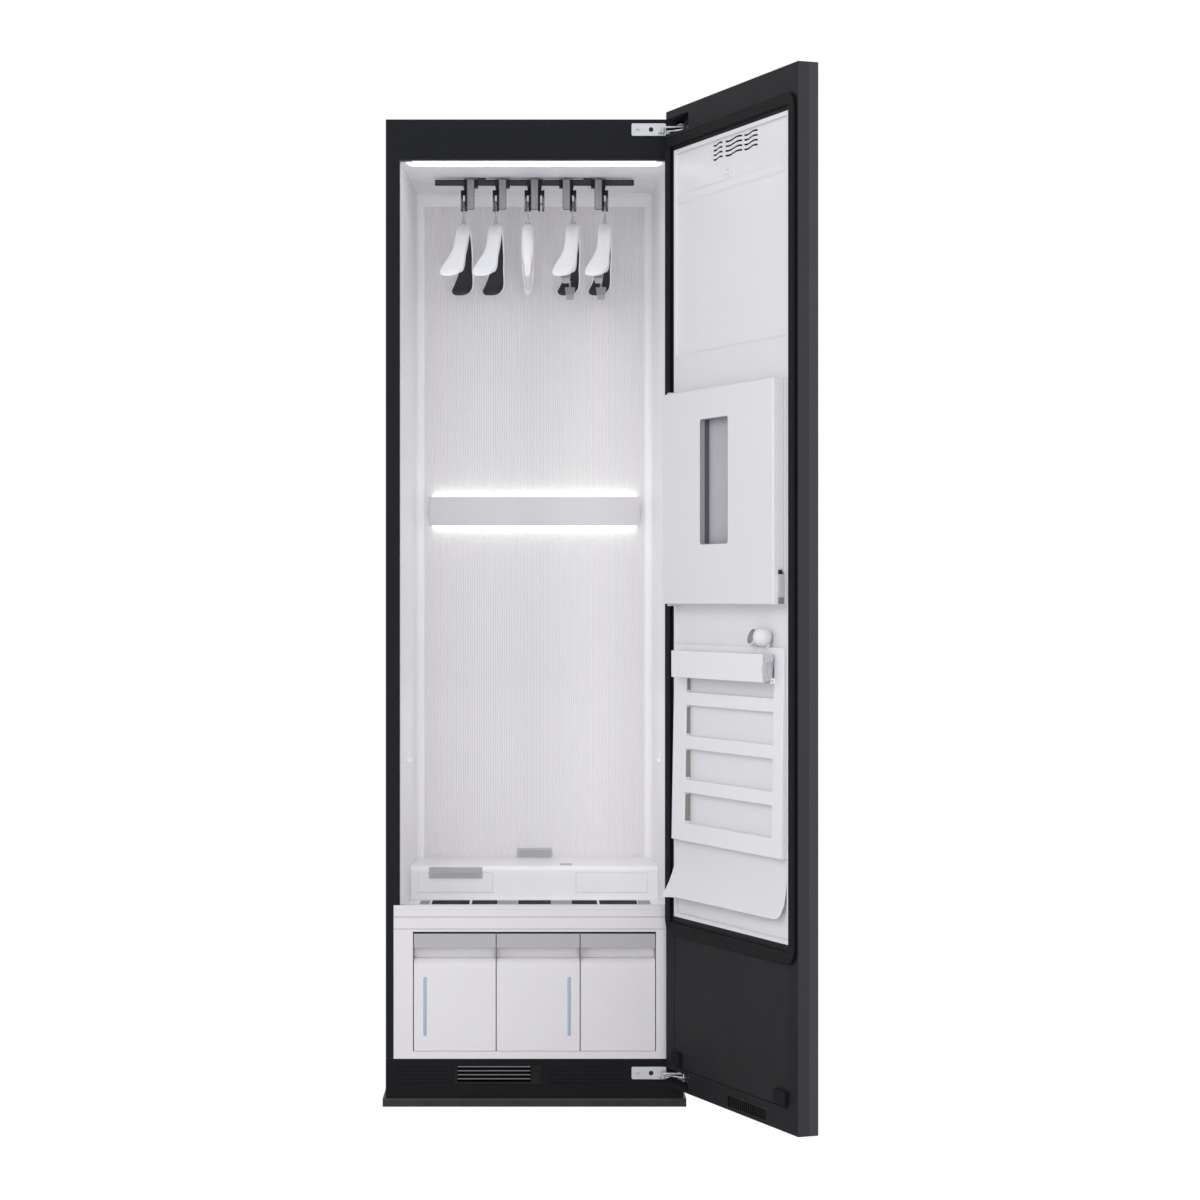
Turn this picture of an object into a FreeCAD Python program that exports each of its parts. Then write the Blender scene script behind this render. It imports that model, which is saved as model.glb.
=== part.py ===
"""Clothes care steam cabinet: a steel case with a hanging chamber, three containers below it and a door that
carries a trouser press.

Millimetres, +X to the right, +Y to the back, +Z up.  The origin is on the floor, in the middle of the width,
under the front face of the case.  Door pieces are drawn with the door shut and are then swung open.
"""

import FreeCAD, Part
import math
import os

V = FreeCAD.Vector
X_AXIS = V(1, 0, 0)
Y_AXIS = V(0, 1, 0)
Z_AXIS = V(0, 0, 1)

# Fits
CLEAR = 0.3  # between pieces that move past each other
RUNNING = 0.08  # radial clearance of a pin in its bore
TURN_SIDES = 20  # flats round a can or a ball
THREAD_CLEAR = 0.1

# Case
WIDTH = 595.0
HEIGHT = 1974.0
DEPTH = 575.0
SHEET = 1.2
STILE = 28.0
HEADER = 82.0
FRAME_DEPTH = 20.0
LOWER_STILE = 15.6
PLINTH_HEIGHT = 17.0
PLINTH_OVERHANG = 6.0
PLINTH_RIM = 10.0
PLINTH_FLOOR = 4.0
FOOT_RADIUS = 20.0
FOOT_STUD = 5.0
FOOT_INSET = 45.0
KICK_TOP = 95.0
KICK_SHEET = 3.0
BEAD_INSET = 76.0
BEAD_WIDTH = 40.0
BEAD_EDGE = 145.0
LOUVRE_WIDTH = 90.0
LOUVRE_INSET = 67.0
LOUVRE_Z = (120.0, 250.0)

# Chamber
BACK_SPACE = 75.0  # behind the back lining
CHAMBER_TAPER = 14.5
LINER_WALL = 3.0
SILL_TOP = 402.0
FLOOR_TOP = 383.0
COVE_RADIUS = 26.0
RIB_PITCH = 5.0
RIB_HEIGHT = 0.8
HOUSING_DEPTH = 205.0
HOUSING_HEIGHT = 69.7
HOUSING_LID = 87.0
SLOT_START = 150.0
SLOT_SPANS = ((77.0, 130.0), (135.0, 213.0))
SLOT_HALF = 34.0
LIGHT_BAR_INSET = 27.0
LIGHT_BAR_HEIGHT = 63.0
LIGHT_BAR_PROUD = 18.0
LIGHT_BAR_BOTTOM = 1173.0
CEILING_LAMP_INSET = 25.0
CLIP_HEIGHT = 676.0
CLIP_DEPTH_PLACE = 230.0

# Hanging rail and its shaker
RAIL_LENGTH = 415.0
RAIL_SIZE = 12.0
RAIL_GAP = 3.4  # under the ceiling
SHAKE = 15.0
HANGER_PITCH = 66.5
HOLDER_DROP = 52.0
TAB_WIDTH = 16.0
HOOK_OFFSET = 14.0
HOOK_PIN = 3.0
HOOK_PIN_DROP = 38.6
STEM_PLACE = 110.0
STEM_WIDTH = 16.0
CARRIAGE_PLATE = 4.0
YOKE_PIN = 4.0
YOKE_PLAY = 3.7

# Hangers
HANGER_HANG = 41.0  # from the hook pin down to the arms
HANGER_REACH = 190.0
HANGER_DROP = 120.0
HANGER_WALL = 2.4
HANGER_WIDTH = 28.0
HANGER_SKIRT = 16.0
TIP_WIDTH = 44.0
PLAIN_WIDTHS = (26.0, 15.0)  # of the straight hanger in the middle
TIP_SKIRT = 12.0
SHELL_BOW = 21.0
SHELL_YAW = 2.2
CLIP_SIZE = (34.0, 20.0, 26.0)  # width above, width below, height

# Container bay
MACHINE_SPACE = 247.0  # behind the bay
BAY_WIDTH = 486.0
BAY_BOTTOM = 110.0
BAY_TOP = 349.0
BAY_WALL = 3.0
BAY_REST = 28.0  # behind the containers
TANK_LEFT = -241.5
TANK_WIDTHS = (164.0, 166.0, 149.0)
TANK_GAP = 2.0
TANK_WALL = 3.0
TANK_FACE = 1.0
BAND_HEIGHT = 28.0
GRIP_HEIGHT = 22.0
GRIP_DEPTH = 25.0
SHOULDER = 20.0

# Intake grille in the kick panel
INTAKE_X = (-161.0, 15.0)
INTAKE_Z = (44.0, 82.0)
INTAKE_DEPTH = 60.0

# Machine space
BLOWER_X = 165.0
BLOWER_Z = 118.0
BLOWER_BACK = 175.0  # from the case's back to the blower's inlet face
BLOWER_DEPTH = 70.0
SCROLL_RADIUS = 81.0
WHEEL_RADIUS = 62.0
WHEEL_WIDTH = 50.0
WHEEL_SHAFT = 6.0
BLADE_COUNT = 16
DUCT_WIDTH = 70.0
DUCT_WALL = 3.0
STEAM_PIPE_X = -165.0
STEAM_PIPE_RADIUS = 9.0
BOILER_SIZE = (120.0, 70.0, 90.0)
BOILER_BOTTOM = 225.0
COMPRESSOR_X = -180.0
COMPRESSOR_BACK = 135.0
COMPRESSOR_RADIUS = 62.0
COMPRESSOR_HEIGHT = 126.0
COMPRESSOR_DOME = 40.0
COIL_X = (-98.0, 60.0)
COIL_BACKS = (185.0, 95.0)
COIL_DEPTH = 55.0
COIL_TOP = 205.0
PUMP_PLACES = (-20.0, 70.0)
PUMP_RADIUS = 24.0
PUMP_Z = 290.0
CONTROL_WIDTH = 190.0
CONTROL_INSET = 27.5
CONTROL_FRONT = 80.0
CONTROL_LENGTH = 220.0

# Door
DOOR_TRIM = 1.0  # the door is narrower than the case by this much at each side
DOOR_RISE = 10.0
DOOR_BOTTOM = 46.0
DOOR_GAP = 8.0
DOOR_THICKNESS = 41.0
DOOR_TRAY = 19.0
DOOR_OPEN = 111.0
PIVOT_INSET = 11.5
PIVOT_DEPTH = 20.4
LINER_INSET = 38.5
LINER_BOTTOM = 387.0
LINER_TOP_MARGIN = 82.0
LINER_RIM = 7.7
LINER_RECESS = 6.0
LOWER_PANEL_Z = (90.0, 350.0)
BUMPER_Z = (95.0, 121.0)
BUMPER_LONG = 50.5
BUMPER_SHORT = 33.5
BUMPER_INSET = 2.0
GRILLE_X = (-165.5, 9.5)
GRILLE_Z = (50.0, 76.0)
GRILLE_DEPTH = 8.0
GASKET_INSET = 6.5
GASKET_WIDTH = 24.0
GASKET_BASE = 3.7
GASKET_BULB_INSET = 4.0
GASKET_MARGINS = (35.0, 32.0)
VENT_ROWS = 4
VENT_ROW_PITCH = 9.0
VENT_HEIGHT = 3.6
VENT_WAVE = 2.0
VENT_GROUPS = ((63.5, 44.0), (-8.0, 77.0), (-83.5, 62.0))
VENT_DROP = 44.0
STEP_DROP = 87.0
STEP_HEIGHT = 23.0
STEP_PROUD = 3.0
GARMENT_HOOK_X = 6.5
GARMENT_HOOK_DROP = 86.0

# Hinges
HINGE_LOW = 67.0
HINGE_TOP_DROP = 21.0
HINGE_HALF = 15.0
HINGE_PLATE = 3.0
HINGE_PLATE_INSETS = (103.5, 34.0)
HINGE_PLATE_HEIGHT = 25.0
HINGE_ROOT_INSET = 47.5
NOTCH_LENGTH = 107.5
BRACKET_REACH = 13.0
LINK_PIN = 2.5
LINK_ARM = 30.0
LINK_REACH = 13.0
LINK_THICKNESS = 3.0
LINK_WIDTH = 7.2
LINK_ANGLES = {"a": 250.0, "b": 285.0}
LINK_LEVELS = {"a": -5.8, "b": 0.6}
EAR_BOTTOM = -9.4

# Trouser press
PRESS_INSETS = (11.4, 3.0)
PRESS_Z = (1005.0, 1417.0)
PRESS_BAND_TOP = 1494.0
PRESS_FRONT = 18.0
PRESS_SPLIT = -3.0
PRESS_SKIN = 10.0
PRESS_SKIRT = 13.0
PRESS_WINDOW_X = (-51.5, 75.5)
PRESS_WINDOW_Z = (1119.0, 1359.0)
PRESS_BARREL = 6.5
PRESS_PIN = 2.5
LATCH_HEIGHT = 62.0
LATCH_WIDTH = 4.0

# Hem rack below the press
RACK_INSETS = (14.5, 8.5)
RACK_Z = (542.0, 926.0)
RACK_TOP_FACE = -6.0
RACK_BOTTOM_FACE = 1.0
RACK_SIDE_BARS = (40.0, 57.5)
RACK_WINDOW_BOTTOM = 577.0
RACK_WINDOW_HEIGHT = 60.0
RACK_WINDOW_PITCH = 85.3
CLAMP_INSETS = (41.0, 38.0)
CLAMP_Z = (862.0, 914.0)
CLAMP_BACK = -3.5
CLAMP_FRONT = 18.0
CLAMP_CORNER = 3.0
LEVER_WIDTH = 6.0
LEVER_PIN = 3.0
BALL_RADIUS = 17.5
BALL_INSET = 70.0
CUP_RADIUS = 17.0
CUP_WALL = 2.5
CUP_PITCH = 45.5
CUP_TILT = 72.5
REST_HEIGHT = 19.0
FLAP_TIP = (12.0, 430.0)
FLAP_THICKNESS = 2.0

# Places that follow from the sizes above
HALF = WIDTH / 2
CASE_X = HALF - SHEET
OPENING_X = HALF - STILE
CEILING = HEIGHT - HEADER
CHAMBER_BACK = DEPTH - BACK_SPACE
HOUSING_FRONT = CHAMBER_BACK - HOUSING_DEPTH
HOUSING_TOP = FLOOR_TOP + HOUSING_HEIGHT
BAY_DEPTH = DEPTH - MACHINE_SPACE
TANK_LENGTH = BAY_DEPTH - BAY_REST
RAIL_BACK = CHAMBER_BACK / 2  # the rail hangs in the middle of the chamber
RAIL_TOP = CEILING - RAIL_GAP
RAIL_BOTTOM = RAIL_TOP - RAIL_SIZE
HOOK_PIN_HEIGHT = RAIL_BOTTOM - HOOK_PIN_DROP
HANGER_TOP = HOOK_PIN_HEIGHT - HANGER_HANG
SLIDE_LEVEL = CEILING + LINER_WALL + CLEAR
CRANK_LEVEL = SLIDE_LEVEL + CARRIAGE_PLATE + CLEAR
BLOWER_FRONT = DEPTH - BLOWER_BACK
STEAM_PIPE = V(STEAM_PIPE_X, BAY_DEPTH + BAY_WALL + BOILER_SIZE[1] / 2, 0)
DOOR_X = HALF - DOOR_TRIM
DOOR_TOP = HEIGHT + DOOR_RISE
DOOR_INNER = -DOOR_GAP
DOOR_OUTER = DOOR_INNER - DOOR_THICKNESS
TRAY_BACK = DOOR_OUTER + DOOR_TRAY
PIVOT = V(DOOR_X - PIVOT_INSET, DOOR_INNER - PIVOT_DEPTH, 0)
LINER_X = DOOR_X - LINER_INSET
LINER_Z = (LINER_BOTTOM, DOOR_TOP - LINER_TOP_MARGIN)
LINER_FACE = DOOR_INNER - LINER_RECESS
LINER_BACK = LINER_FACE - LINER_WALL
GASKET_OUTER = DOOR_X - GASKET_INSET
HINGE_HEIGHTS = (HINGE_LOW, HEIGHT - HINGE_TOP_DROP)
PRESS_X = (-LINER_X + PRESS_INSETS[0], LINER_X - PRESS_INSETS[1])
PRESS_AXIS = (PRESS_X[1] - PRESS_BARREL, PRESS_SPLIT + PRESS_BARREL)
LATCH_X = PRESS_X[0] - CLEAR
LATCH_Z = (PRESS_Z[0] + 1, PRESS_Z[0] + 1 + LATCH_HEIGHT)
RACK_X = (-LINER_X + RACK_INSETS[0], LINER_X - RACK_INSETS[1])
RACK_WINDOW_X = (RACK_X[0] + RACK_SIDE_BARS[0], RACK_X[1] - RACK_SIDE_BARS[1])
CLAMP_X = (RACK_X[0] + CLAMP_INSETS[0], RACK_X[1] - CLAMP_INSETS[1])


def box(x, y, z):
    """Box between the low and high value of each axis."""
    return Part.makeBox(x[1] - x[0], y[1] - y[0], z[1] - z[0], V(x[0], y[0], z[0]))


def cylinder(radius, start, length, axis=Z_AXIS):
    """Cylinder from its start point along an axis."""
    return Part.makeCylinder(radius, length, V(*start), axis)


def join(shapes):
    """One solid from touching shapes."""
    shapes = list(shapes)
    whole = shapes[0]
    if len(shapes) > 1:
        whole = whole.multiFuse(shapes[1:]).removeSplitter()
    return whole.Solids[0] if len(whole.Solids) == 1 else whole


def fused(shapes):
    """One solid from touching shapes, with every face kept as it was drawn."""
    whole = shapes[0].multiFuse(shapes[1:])
    return whole.Solids[0] if len(whole.Solids) == 1 else whole


def cut(shape, *tools):
    """Shape with each tool taken away."""
    for tool in tools:
        shape = shape.cut(tool)
    return shape.Solids[0] if len(shape.Solids) == 1 else shape


def prism_x(points, span):
    """Outline of (y, z) points pushed along X over a span."""
    wire = Part.makePolygon([V(span[0], y, z) for y, z in points + points[:1]])
    return Part.Face(wire).extrude(V(span[1] - span[0], 0, 0))


def prism_z(points, span):
    """Outline of (x, y) points pushed along Z over a span."""
    wire = Part.makePolygon([V(x, y, span[0]) for x, y in points + points[:1]])
    return Part.Face(wire).extrude(V(0, 0, span[1] - span[0]))


def upright_slab(x, y, z, radius):
    """Slab in the XZ plane whose four outline corners are rounded."""
    slab = box(x, y, z)
    edges = [e for e in slab.Edges if abs(e.tangentAt(e.FirstParameter).y) > 0.99]
    return slab.makeFillet(radius, edges)


def turned(profile, origin):
    """Flat-sided solid round the upright line through a point, from (radius, height) rings, lowest first."""
    turns = [2 * math.pi * i / TURN_SIDES for i in range(TURN_SIDES)]
    rings = [
        [origin + V(radius * math.cos(turn), radius * math.sin(turn), height) for turn in turns]
        for radius, height in profile
    ]
    outlines = [rings[0][::-1], rings[-1]]
    for low, high in zip(rings, rings[1:]):
        outlines += [[low[i - 1], low[i], high[i], high[i - 1]] for i in range(TURN_SIDES)]
    return Part.Solid(Part.Shell([Part.Face(Part.makePolygon(line + line[:1])) for line in outlines]))


def bands(radius, low, high, count):
    """Outline of (radius, height) points on a ball between two angles above its equator, in flat bands."""
    angles = [math.radians(low + (high - low) * i / count) for i in range(count + 1)]
    return [(radius * math.cos(angle), radius * math.sin(angle)) for angle in angles]


def mirrored(shape):
    """Shape and its mirror image across the middle of the width."""
    return Part.makeCompound([shape, shape.mirror(V(0, 0, 0), X_AXIS)])


def swing(shape):
    """Door piece turned from shut to open about the hinge line."""
    turned = shape.copy()
    turned.rotate(PIVOT, Z_AXIS, DOOR_OPEN)
    return turned


def wall_x(y):
    """Half width of the chamber at a depth."""
    return OPENING_X - CHAMBER_TAPER * y / CHAMBER_BACK


def steps(start, pitch, end):
    """Evenly spaced places from start up to end."""
    count = int((end - start) / pitch + 1e-6) + 1
    return [start + pitch * i for i in range(count)]


# ---- base and case ----


def foot_places():
    """Centres of the four levelling feet."""
    reach = HALF - FOOT_INSET
    return [(x, y) for x in (-reach, reach) for y in (FOOT_INSET, DEPTH - FOOT_INSET)]


def base_plate():
    """Moulded base tray with a rim, machine ribs and a boss over each foot."""
    x = (-HALF - PLINTH_OVERHANG, HALF + PLINTH_OVERHANG)
    y = (-PLINTH_OVERHANG, DEPTH)
    inner_x = (x[0] + PLINTH_RIM, x[1] - PLINTH_RIM)
    inner_y = (y[0] + PLINTH_RIM, y[1] - PLINTH_RIM)
    outer = box(x, y, (0, PLINTH_HEIGHT))
    front = [e for e in outer.Edges if e.BoundBox.YMax < y[0] + 1 and e.BoundBox.ZMin > 1]
    tray = cut(outer.makeChamfer(3.0, front), box(inner_x, inner_y, (PLINTH_FLOOR, PLINTH_HEIGHT)))
    reach = FOOT_RADIUS + 6
    boss = [
        box((px - reach, px + reach), (py - reach, py + reach), (PLINTH_FLOOR / 2, PLINTH_HEIGHT))
        for px, py in foot_places()
    ]
    bores = []
    for px, py in foot_places():
        bores.append(cylinder(FOOT_RADIUS + CLEAR, (px, py, 0), FOOT_RADIUS / 2 + CLEAR))
        bores.append(cylinder(FOOT_STUD + THREAD_CLEAR, (px, py, 0), PLINTH_HEIGHT))
    return cut(join([tray] + boss), *bores)


def levelling_feet():
    """Four pads on threaded studs, wound fully in."""
    feet = []
    for px, py in foot_places():
        pad = cylinder(FOOT_RADIUS, (px, py, 0), FOOT_RADIUS / 2)
        stud = cylinder(FOOT_STUD, (px, py, FOOT_RADIUS / 2), PLINTH_HEIGHT + 6)
        feet.append(join([pad, stud]))
    return Part.makeCompound(feet)


def side_panels():
    """Two painted side sheets behind the front frame."""
    sheet = box((CASE_X, HALF), (FRAME_DEPTH, DEPTH), (PLINTH_HEIGHT, HEIGHT))
    return mirrored(sheet)


def top_panel():
    """Sheet between the side panels, with two stiffening beads."""
    z = (HEIGHT - SHEET, HEIGHT)
    sheet = box((-CASE_X, CASE_X), (FRAME_DEPTH, DEPTH), z)
    reach = CASE_X - BEAD_INSET
    places = (BEAD_EDGE, DEPTH - BEAD_EDGE - BEAD_WIDTH)
    beads = [box((-reach, reach), (y, y + BEAD_WIDTH), (z[0] - 2, z[0])) for y in places]
    return join([sheet] + beads)


def back_panel():
    """Rear sheet with a louvred vent low down for the machine space."""
    sheet = box((-CASE_X, CASE_X), (DEPTH - SHEET, DEPTH), (PLINTH_HEIGHT, HEIGHT - SHEET))
    outer = CASE_X - LOUVRE_INSET
    louvres = [
        box((x, x + LOUVRE_WIDTH), (DEPTH - 5, DEPTH + 1), (z, z + 5))
        for x in (-outer, -LOUVRE_WIDTH / 2, outer - LOUVRE_WIDTH)
        for z in steps(LOUVRE_Z[0], 16, LOUVRE_Z[1])
    ]
    return cut(sheet, *louvres)


def front_frame():
    """Header and stiles round the chamber opening; the stiles narrow beside the containers."""
    y = (0, FRAME_DEPTH)
    plate = box((-HALF, HALF), y, (KICK_TOP, HEIGHT))
    opening = box((-OPENING_X, OPENING_X), (-1, FRAME_DEPTH + 1), (SILL_TOP, CEILING))
    lower_x = HALF - LOWER_STILE
    lower = box((-lower_x, lower_x), (-1, FRAME_DEPTH + 1), (KICK_TOP - 1, SILL_TOP))
    return cut(plate, opening, lower)


def kick_panel():
    """Front panel under the containers, grooved, with a window for the intake grille."""
    y = (0, KICK_SHEET)
    panel = box((-HALF, HALF), y, (PLINTH_HEIGHT, KICK_TOP))
    returns = [
        box((side - SHEET, side + SHEET), (0, FRAME_DEPTH), (PLINTH_HEIGHT, KICK_TOP))
        for side in (-HALF + SHEET, HALF - SHEET)
    ]
    window_x = (INTAKE_X[0] - CLEAR, INTAKE_X[1] + CLEAR)
    window_z = (INTAKE_Z[0] - CLEAR, INTAKE_Z[1] + CLEAR)
    window = box(window_x, (-1, FRAME_DEPTH), window_z)
    grooves = [
        box(span, (-1, 0.8), (z, z + 1.6))
        for span in ((-HALF + 22.5, INTAKE_X[0] - 12), (INTAKE_X[1] + 14, HALF - NOTCH_LENGTH - 10))
        for z in steps(INTAKE_Z[0] + 2, 8, INTAKE_Z[1])
    ]
    return cut(join([panel] + returns), window, *grooves)


def intake_grille():
    """Slatted front with a pull tab, and the filter tray behind it."""
    y0 = -1.0
    front = box(INTAKE_X, (y0, KICK_SHEET), INTAKE_Z)
    slot_x = (INTAKE_X[0] + 7, INTAKE_X[1] - 22)
    levels = steps(INTAKE_Z[0] + 5, 8, INTAKE_Z[1] - 8)
    slots = [box(slot_x, (y0 - 1, KICK_SHEET + 1), (z, z + 5)) for z in levels]
    middle_z = (INTAKE_Z[0] + INTAKE_Z[1]) / 2
    tab = cylinder(8, (INTAKE_X[1] - 11, y0 - 2, middle_z), 3, Y_AXIS)
    tray_y = (KICK_SHEET, INTAKE_DEPTH)
    tray_x = (INTAKE_X[0] + 2, INTAKE_X[1] - 2)
    tray = cut(
        box(tray_x, tray_y, (INTAKE_Z[0] + 1, INTAKE_Z[1] - 1)),
        box((tray_x[0] + 2, tray_x[1] - 2), (0, INTAKE_DEPTH - 2), (INTAKE_Z[0] + 3, INTAKE_Z[1] + 1)),
    )
    return join([cut(front, *slots), tab, tray])


def lower_frame():
    """White moulded frame round the containers with the bay behind it."""
    half = HALF - LOWER_STILE - CLEAR / 2
    bay_x = BAY_WIDTH / 2
    face = box((-half, half), (-TANK_FACE, FRAME_DEPTH), (KICK_TOP, SILL_TOP))
    shell_x = (-bay_x - BAY_WALL, bay_x + BAY_WALL)
    shell = box(shell_x, (FRAME_DEPTH, BAY_DEPTH + BAY_WALL), (BAY_BOTTOM - BAY_WALL, BAY_TOP + BAY_WALL))
    room = box((-bay_x, bay_x), (-TANK_FACE - 1, BAY_DEPTH), (BAY_BOTTOM, BAY_TOP))
    levels = (BAY_TOP + 5, SILL_TOP - 24)
    lines = [box((-half, half), (-TANK_FACE - 1, -TANK_FACE + 0.8), (z, z + 1.2)) for z in levels]
    return cut(join([face, shell]), room, *lines)


# ---- chamber ----


def liner_sides():
    """Two tapering side linings."""
    corners = [
        (wall_x(FRAME_DEPTH), FRAME_DEPTH),
        (wall_x(CHAMBER_BACK), CHAMBER_BACK),
        (wall_x(CHAMBER_BACK) + LINER_WALL, CHAMBER_BACK),
        (wall_x(FRAME_DEPTH) + LINER_WALL, FRAME_DEPTH),
    ]
    return mirrored(prism_z(corners, (FLOOR_TOP - LINER_WALL, CEILING)))


def liner_ceiling():
    """Flat ceiling with a cove to the back lining and slots for the rail stems."""
    x = (-wall_x(FRAME_DEPTH) - LINER_WALL, wall_x(FRAME_DEPTH) + LINER_WALL)
    back = CHAMBER_BACK + LINER_WALL
    slab = box(x, (FRAME_DEPTH, back), (CEILING, CEILING + LINER_WALL))
    cove_x = (-wall_x(CHAMBER_BACK), wall_x(CHAMBER_BACK))
    cove = cut(
        box(cove_x, (CHAMBER_BACK - COVE_RADIUS, CHAMBER_BACK), (CEILING - COVE_RADIUS, CEILING)),
        cylinder(
            COVE_RADIUS - 1,
            (cove_x[0], CHAMBER_BACK - COVE_RADIUS, CEILING - COVE_RADIUS),
            cove_x[1] - cove_x[0],
            X_AXIS,
        ),
    )
    slot_x = STEM_WIDTH / 2 + SHAKE + 1.5
    slots = [
        box((x0 - slot_x, x0 + slot_x), (RAIL_BACK - 8, RAIL_BACK + 8), (CEILING - 1, CEILING + 4))
        for x0 in (-STEM_PLACE, STEM_PLACE)
    ]
    return cut(join([slab, cove]), *slots)


def liner_back():
    """Back lining with fine upright ribs."""
    half = wall_x(CHAMBER_BACK)
    outline = [(-half, CHAMBER_BACK + LINER_WALL), (-half, CHAMBER_BACK)]
    for x in steps(-half + 4, RIB_PITCH, half - 4 - RIB_PITCH):
        outline.append((x, CHAMBER_BACK))
        outline.append((x + RIB_PITCH / 2, CHAMBER_BACK - RIB_HEIGHT))
    outline += [(half, CHAMBER_BACK), (half, CHAMBER_BACK + LINER_WALL)]
    return prism_z(outline, (HOUSING_TOP, CEILING - COVE_RADIUS))


def chamber_floor():
    """Floor with the air return slots in front of the steam housing."""
    corners = [
        (wall_x(FRAME_DEPTH), FRAME_DEPTH),
        (wall_x(CHAMBER_BACK), CHAMBER_BACK),
        (-wall_x(CHAMBER_BACK), CHAMBER_BACK),
        (-wall_x(FRAME_DEPTH), FRAME_DEPTH),
    ]
    slab = prism_z(corners, (FLOOR_TOP - LINER_WALL, FLOOR_TOP))
    spans = [(-SLOT_HALF, SLOT_HALF)]
    for low, high in SLOT_SPANS:
        spans += [(low, high), (-high, -low)]
    z = (FLOOR_TOP - LINER_WALL - 1, FLOOR_TOP + 1)
    slots = [box(span, (SLOT_START, HOUSING_FRONT - 30), z) for span in spans]
    pipe_hole = cylinder(STEAM_PIPE_RADIUS + CLEAR, (STEAM_PIPE.x, STEAM_PIPE.y, z[0]), LINER_WALL + 2)
    return cut(slab, *slots, box(*duct_room(), z), pipe_hole)


def duct_room():
    """X and Y span of the passage inside the blower's outlet duct."""
    right = BLOWER_X + SCROLL_RADIUS - DUCT_WALL
    x = (right - DUCT_WIDTH + 2 * DUCT_WALL, right)
    y = (BLOWER_FRONT + DUCT_WALL, BLOWER_FRONT + BLOWER_DEPTH - DUCT_WALL)
    return x, y


def steam_housing():
    """Low cover over the steam nozzle and the air duct, fitted between the side linings."""
    front_x = wall_x(HOUSING_FRONT) - CLEAR
    back_x = wall_x(CHAMBER_BACK) - CLEAR
    outline = [
        (-front_x, HOUSING_FRONT),
        (front_x, HOUSING_FRONT),
        (back_x, CHAMBER_BACK),
        (-back_x, CHAMBER_BACK),
    ]
    outer = prism_z(outline, (FLOOR_TOP, HOUSING_TOP))
    edge = [e for e in outer.Edges if e.BoundBox.YMax < HOUSING_FRONT + 1 and e.BoundBox.ZMin > FLOOR_TOP + 1]
    outer = outer.makeFillet(9.0, edge)
    inner = box(
        (-back_x + LINER_WALL, back_x - LINER_WALL),
        (HOUSING_FRONT + LINER_WALL, CHAMBER_BACK - LINER_WALL),
        (FLOOR_TOP - 1, HOUSING_TOP - 12),
    )
    lids = []
    seam_y = (HOUSING_FRONT - 1, HOUSING_FRONT + 0.8)
    z = (FLOOR_TOP + 14, FLOOR_TOP + 56)
    seam = 1.2
    for x in ((-back_x + 10, -HOUSING_LID), (HOUSING_LID, back_x - 16)):
        field = box((x[0] + seam, x[1] - seam), (seam_y[0] - 1, seam_y[1] + 1), (z[0] + seam, z[1] - seam))
        lids.append(cut(box(x, seam_y, z), field))
    return cut(outer, inner, *lids)


def vent_plates():
    """Steam outlet on the housing, sensor on its top and vent on the back lining."""
    low = FLOOR_TOP + 44
    outlet_x = (STEAM_PIPE_X - 57, STEAM_PIPE_X + 56)
    outlet = upright_slab(outlet_x, (HOUSING_FRONT - 2, HOUSING_FRONT), (low, low + 16), 3)
    louvre_x = (outlet_x[0] + 6, outlet_x[1] - 6)
    louvres = [
        box(louvre_x, (HOUSING_FRONT - 3, HOUSING_FRONT - 1), (z, z + 1.6))
        for z in steps(low + 3, 3.4, low + 13)
    ]
    sensor = box((54, 79), (HOUSING_FRONT + 20, HOUSING_FRONT + 45), (HOUSING_TOP, HOUSING_TOP + 2))
    back_y = CHAMBER_BACK - RIB_HEIGHT
    foot = HOUSING_TOP + 2.3
    vent = upright_slab((-38, 38), (back_y - 3, back_y), (foot, foot + 18), 3)
    slats = [box((-33, 33), (back_y - 4, back_y - 1.4), (z, z + 2)) for z in steps(foot + 3, 4, foot + 14)]
    return Part.makeCompound([cut(outlet, *louvres), sensor, cut(vent, *slats)])


def light_bar():
    """Flat bar across the back lining with a narrower lamp box behind it."""
    face_back = CHAMBER_BACK - RIB_HEIGHT
    front = face_back - LIGHT_BAR_PROUD
    half = wall_x(CHAMBER_BACK) - LIGHT_BAR_INSET
    z = (LIGHT_BAR_BOTTOM, LIGHT_BAR_BOTTOM + LIGHT_BAR_HEIGHT)
    face = box((-half, half), (front, front + 4), z)
    lamp = box((-half + 14, half - 14), (front + 4, face_back), (z[0] + 9, z[1] - 9))
    return join([face, lamp])


def ceiling_light():
    """Strip lamp behind the header."""
    half = wall_x(FRAME_DEPTH) - CEILING_LAMP_INSET
    lamp = box((-half, half), (FRAME_DEPTH, FRAME_DEPTH + 13), (CEILING - 8, CEILING))
    lower = [e for e in lamp.Edges if e.BoundBox.ZMax < CEILING - 7]
    edge = [e for e in lower if abs(e.tangentAt(e.FirstParameter).x) > 0.9]
    return lamp.makeChamfer(2.5, edge)


def shelf_clips():
    """Shelf rest on each side lining."""
    y = (CLIP_DEPTH_PLACE - 10, CLIP_DEPTH_PLACE + 10)
    corners = [(wall_x(y[0]), y[0]), (wall_x(y[1]), y[1]), (wall_x(y[1]) - 9, y[1]), (wall_x(y[0]) - 9, y[0])]
    foot = prism_z(corners, (CLIP_HEIGHT, CLIP_HEIGHT + 6))
    keep = [(wall_x(y[0]), y[0]), (wall_x(y[1]), y[1]), (wall_x(y[1]) - 3, y[1]), (wall_x(y[0]) - 3, y[0])]
    return mirrored(join([foot, prism_z(keep, (CLIP_HEIGHT + 6, CLIP_HEIGHT + 20))]))


# ---- hanging rail ----


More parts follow.
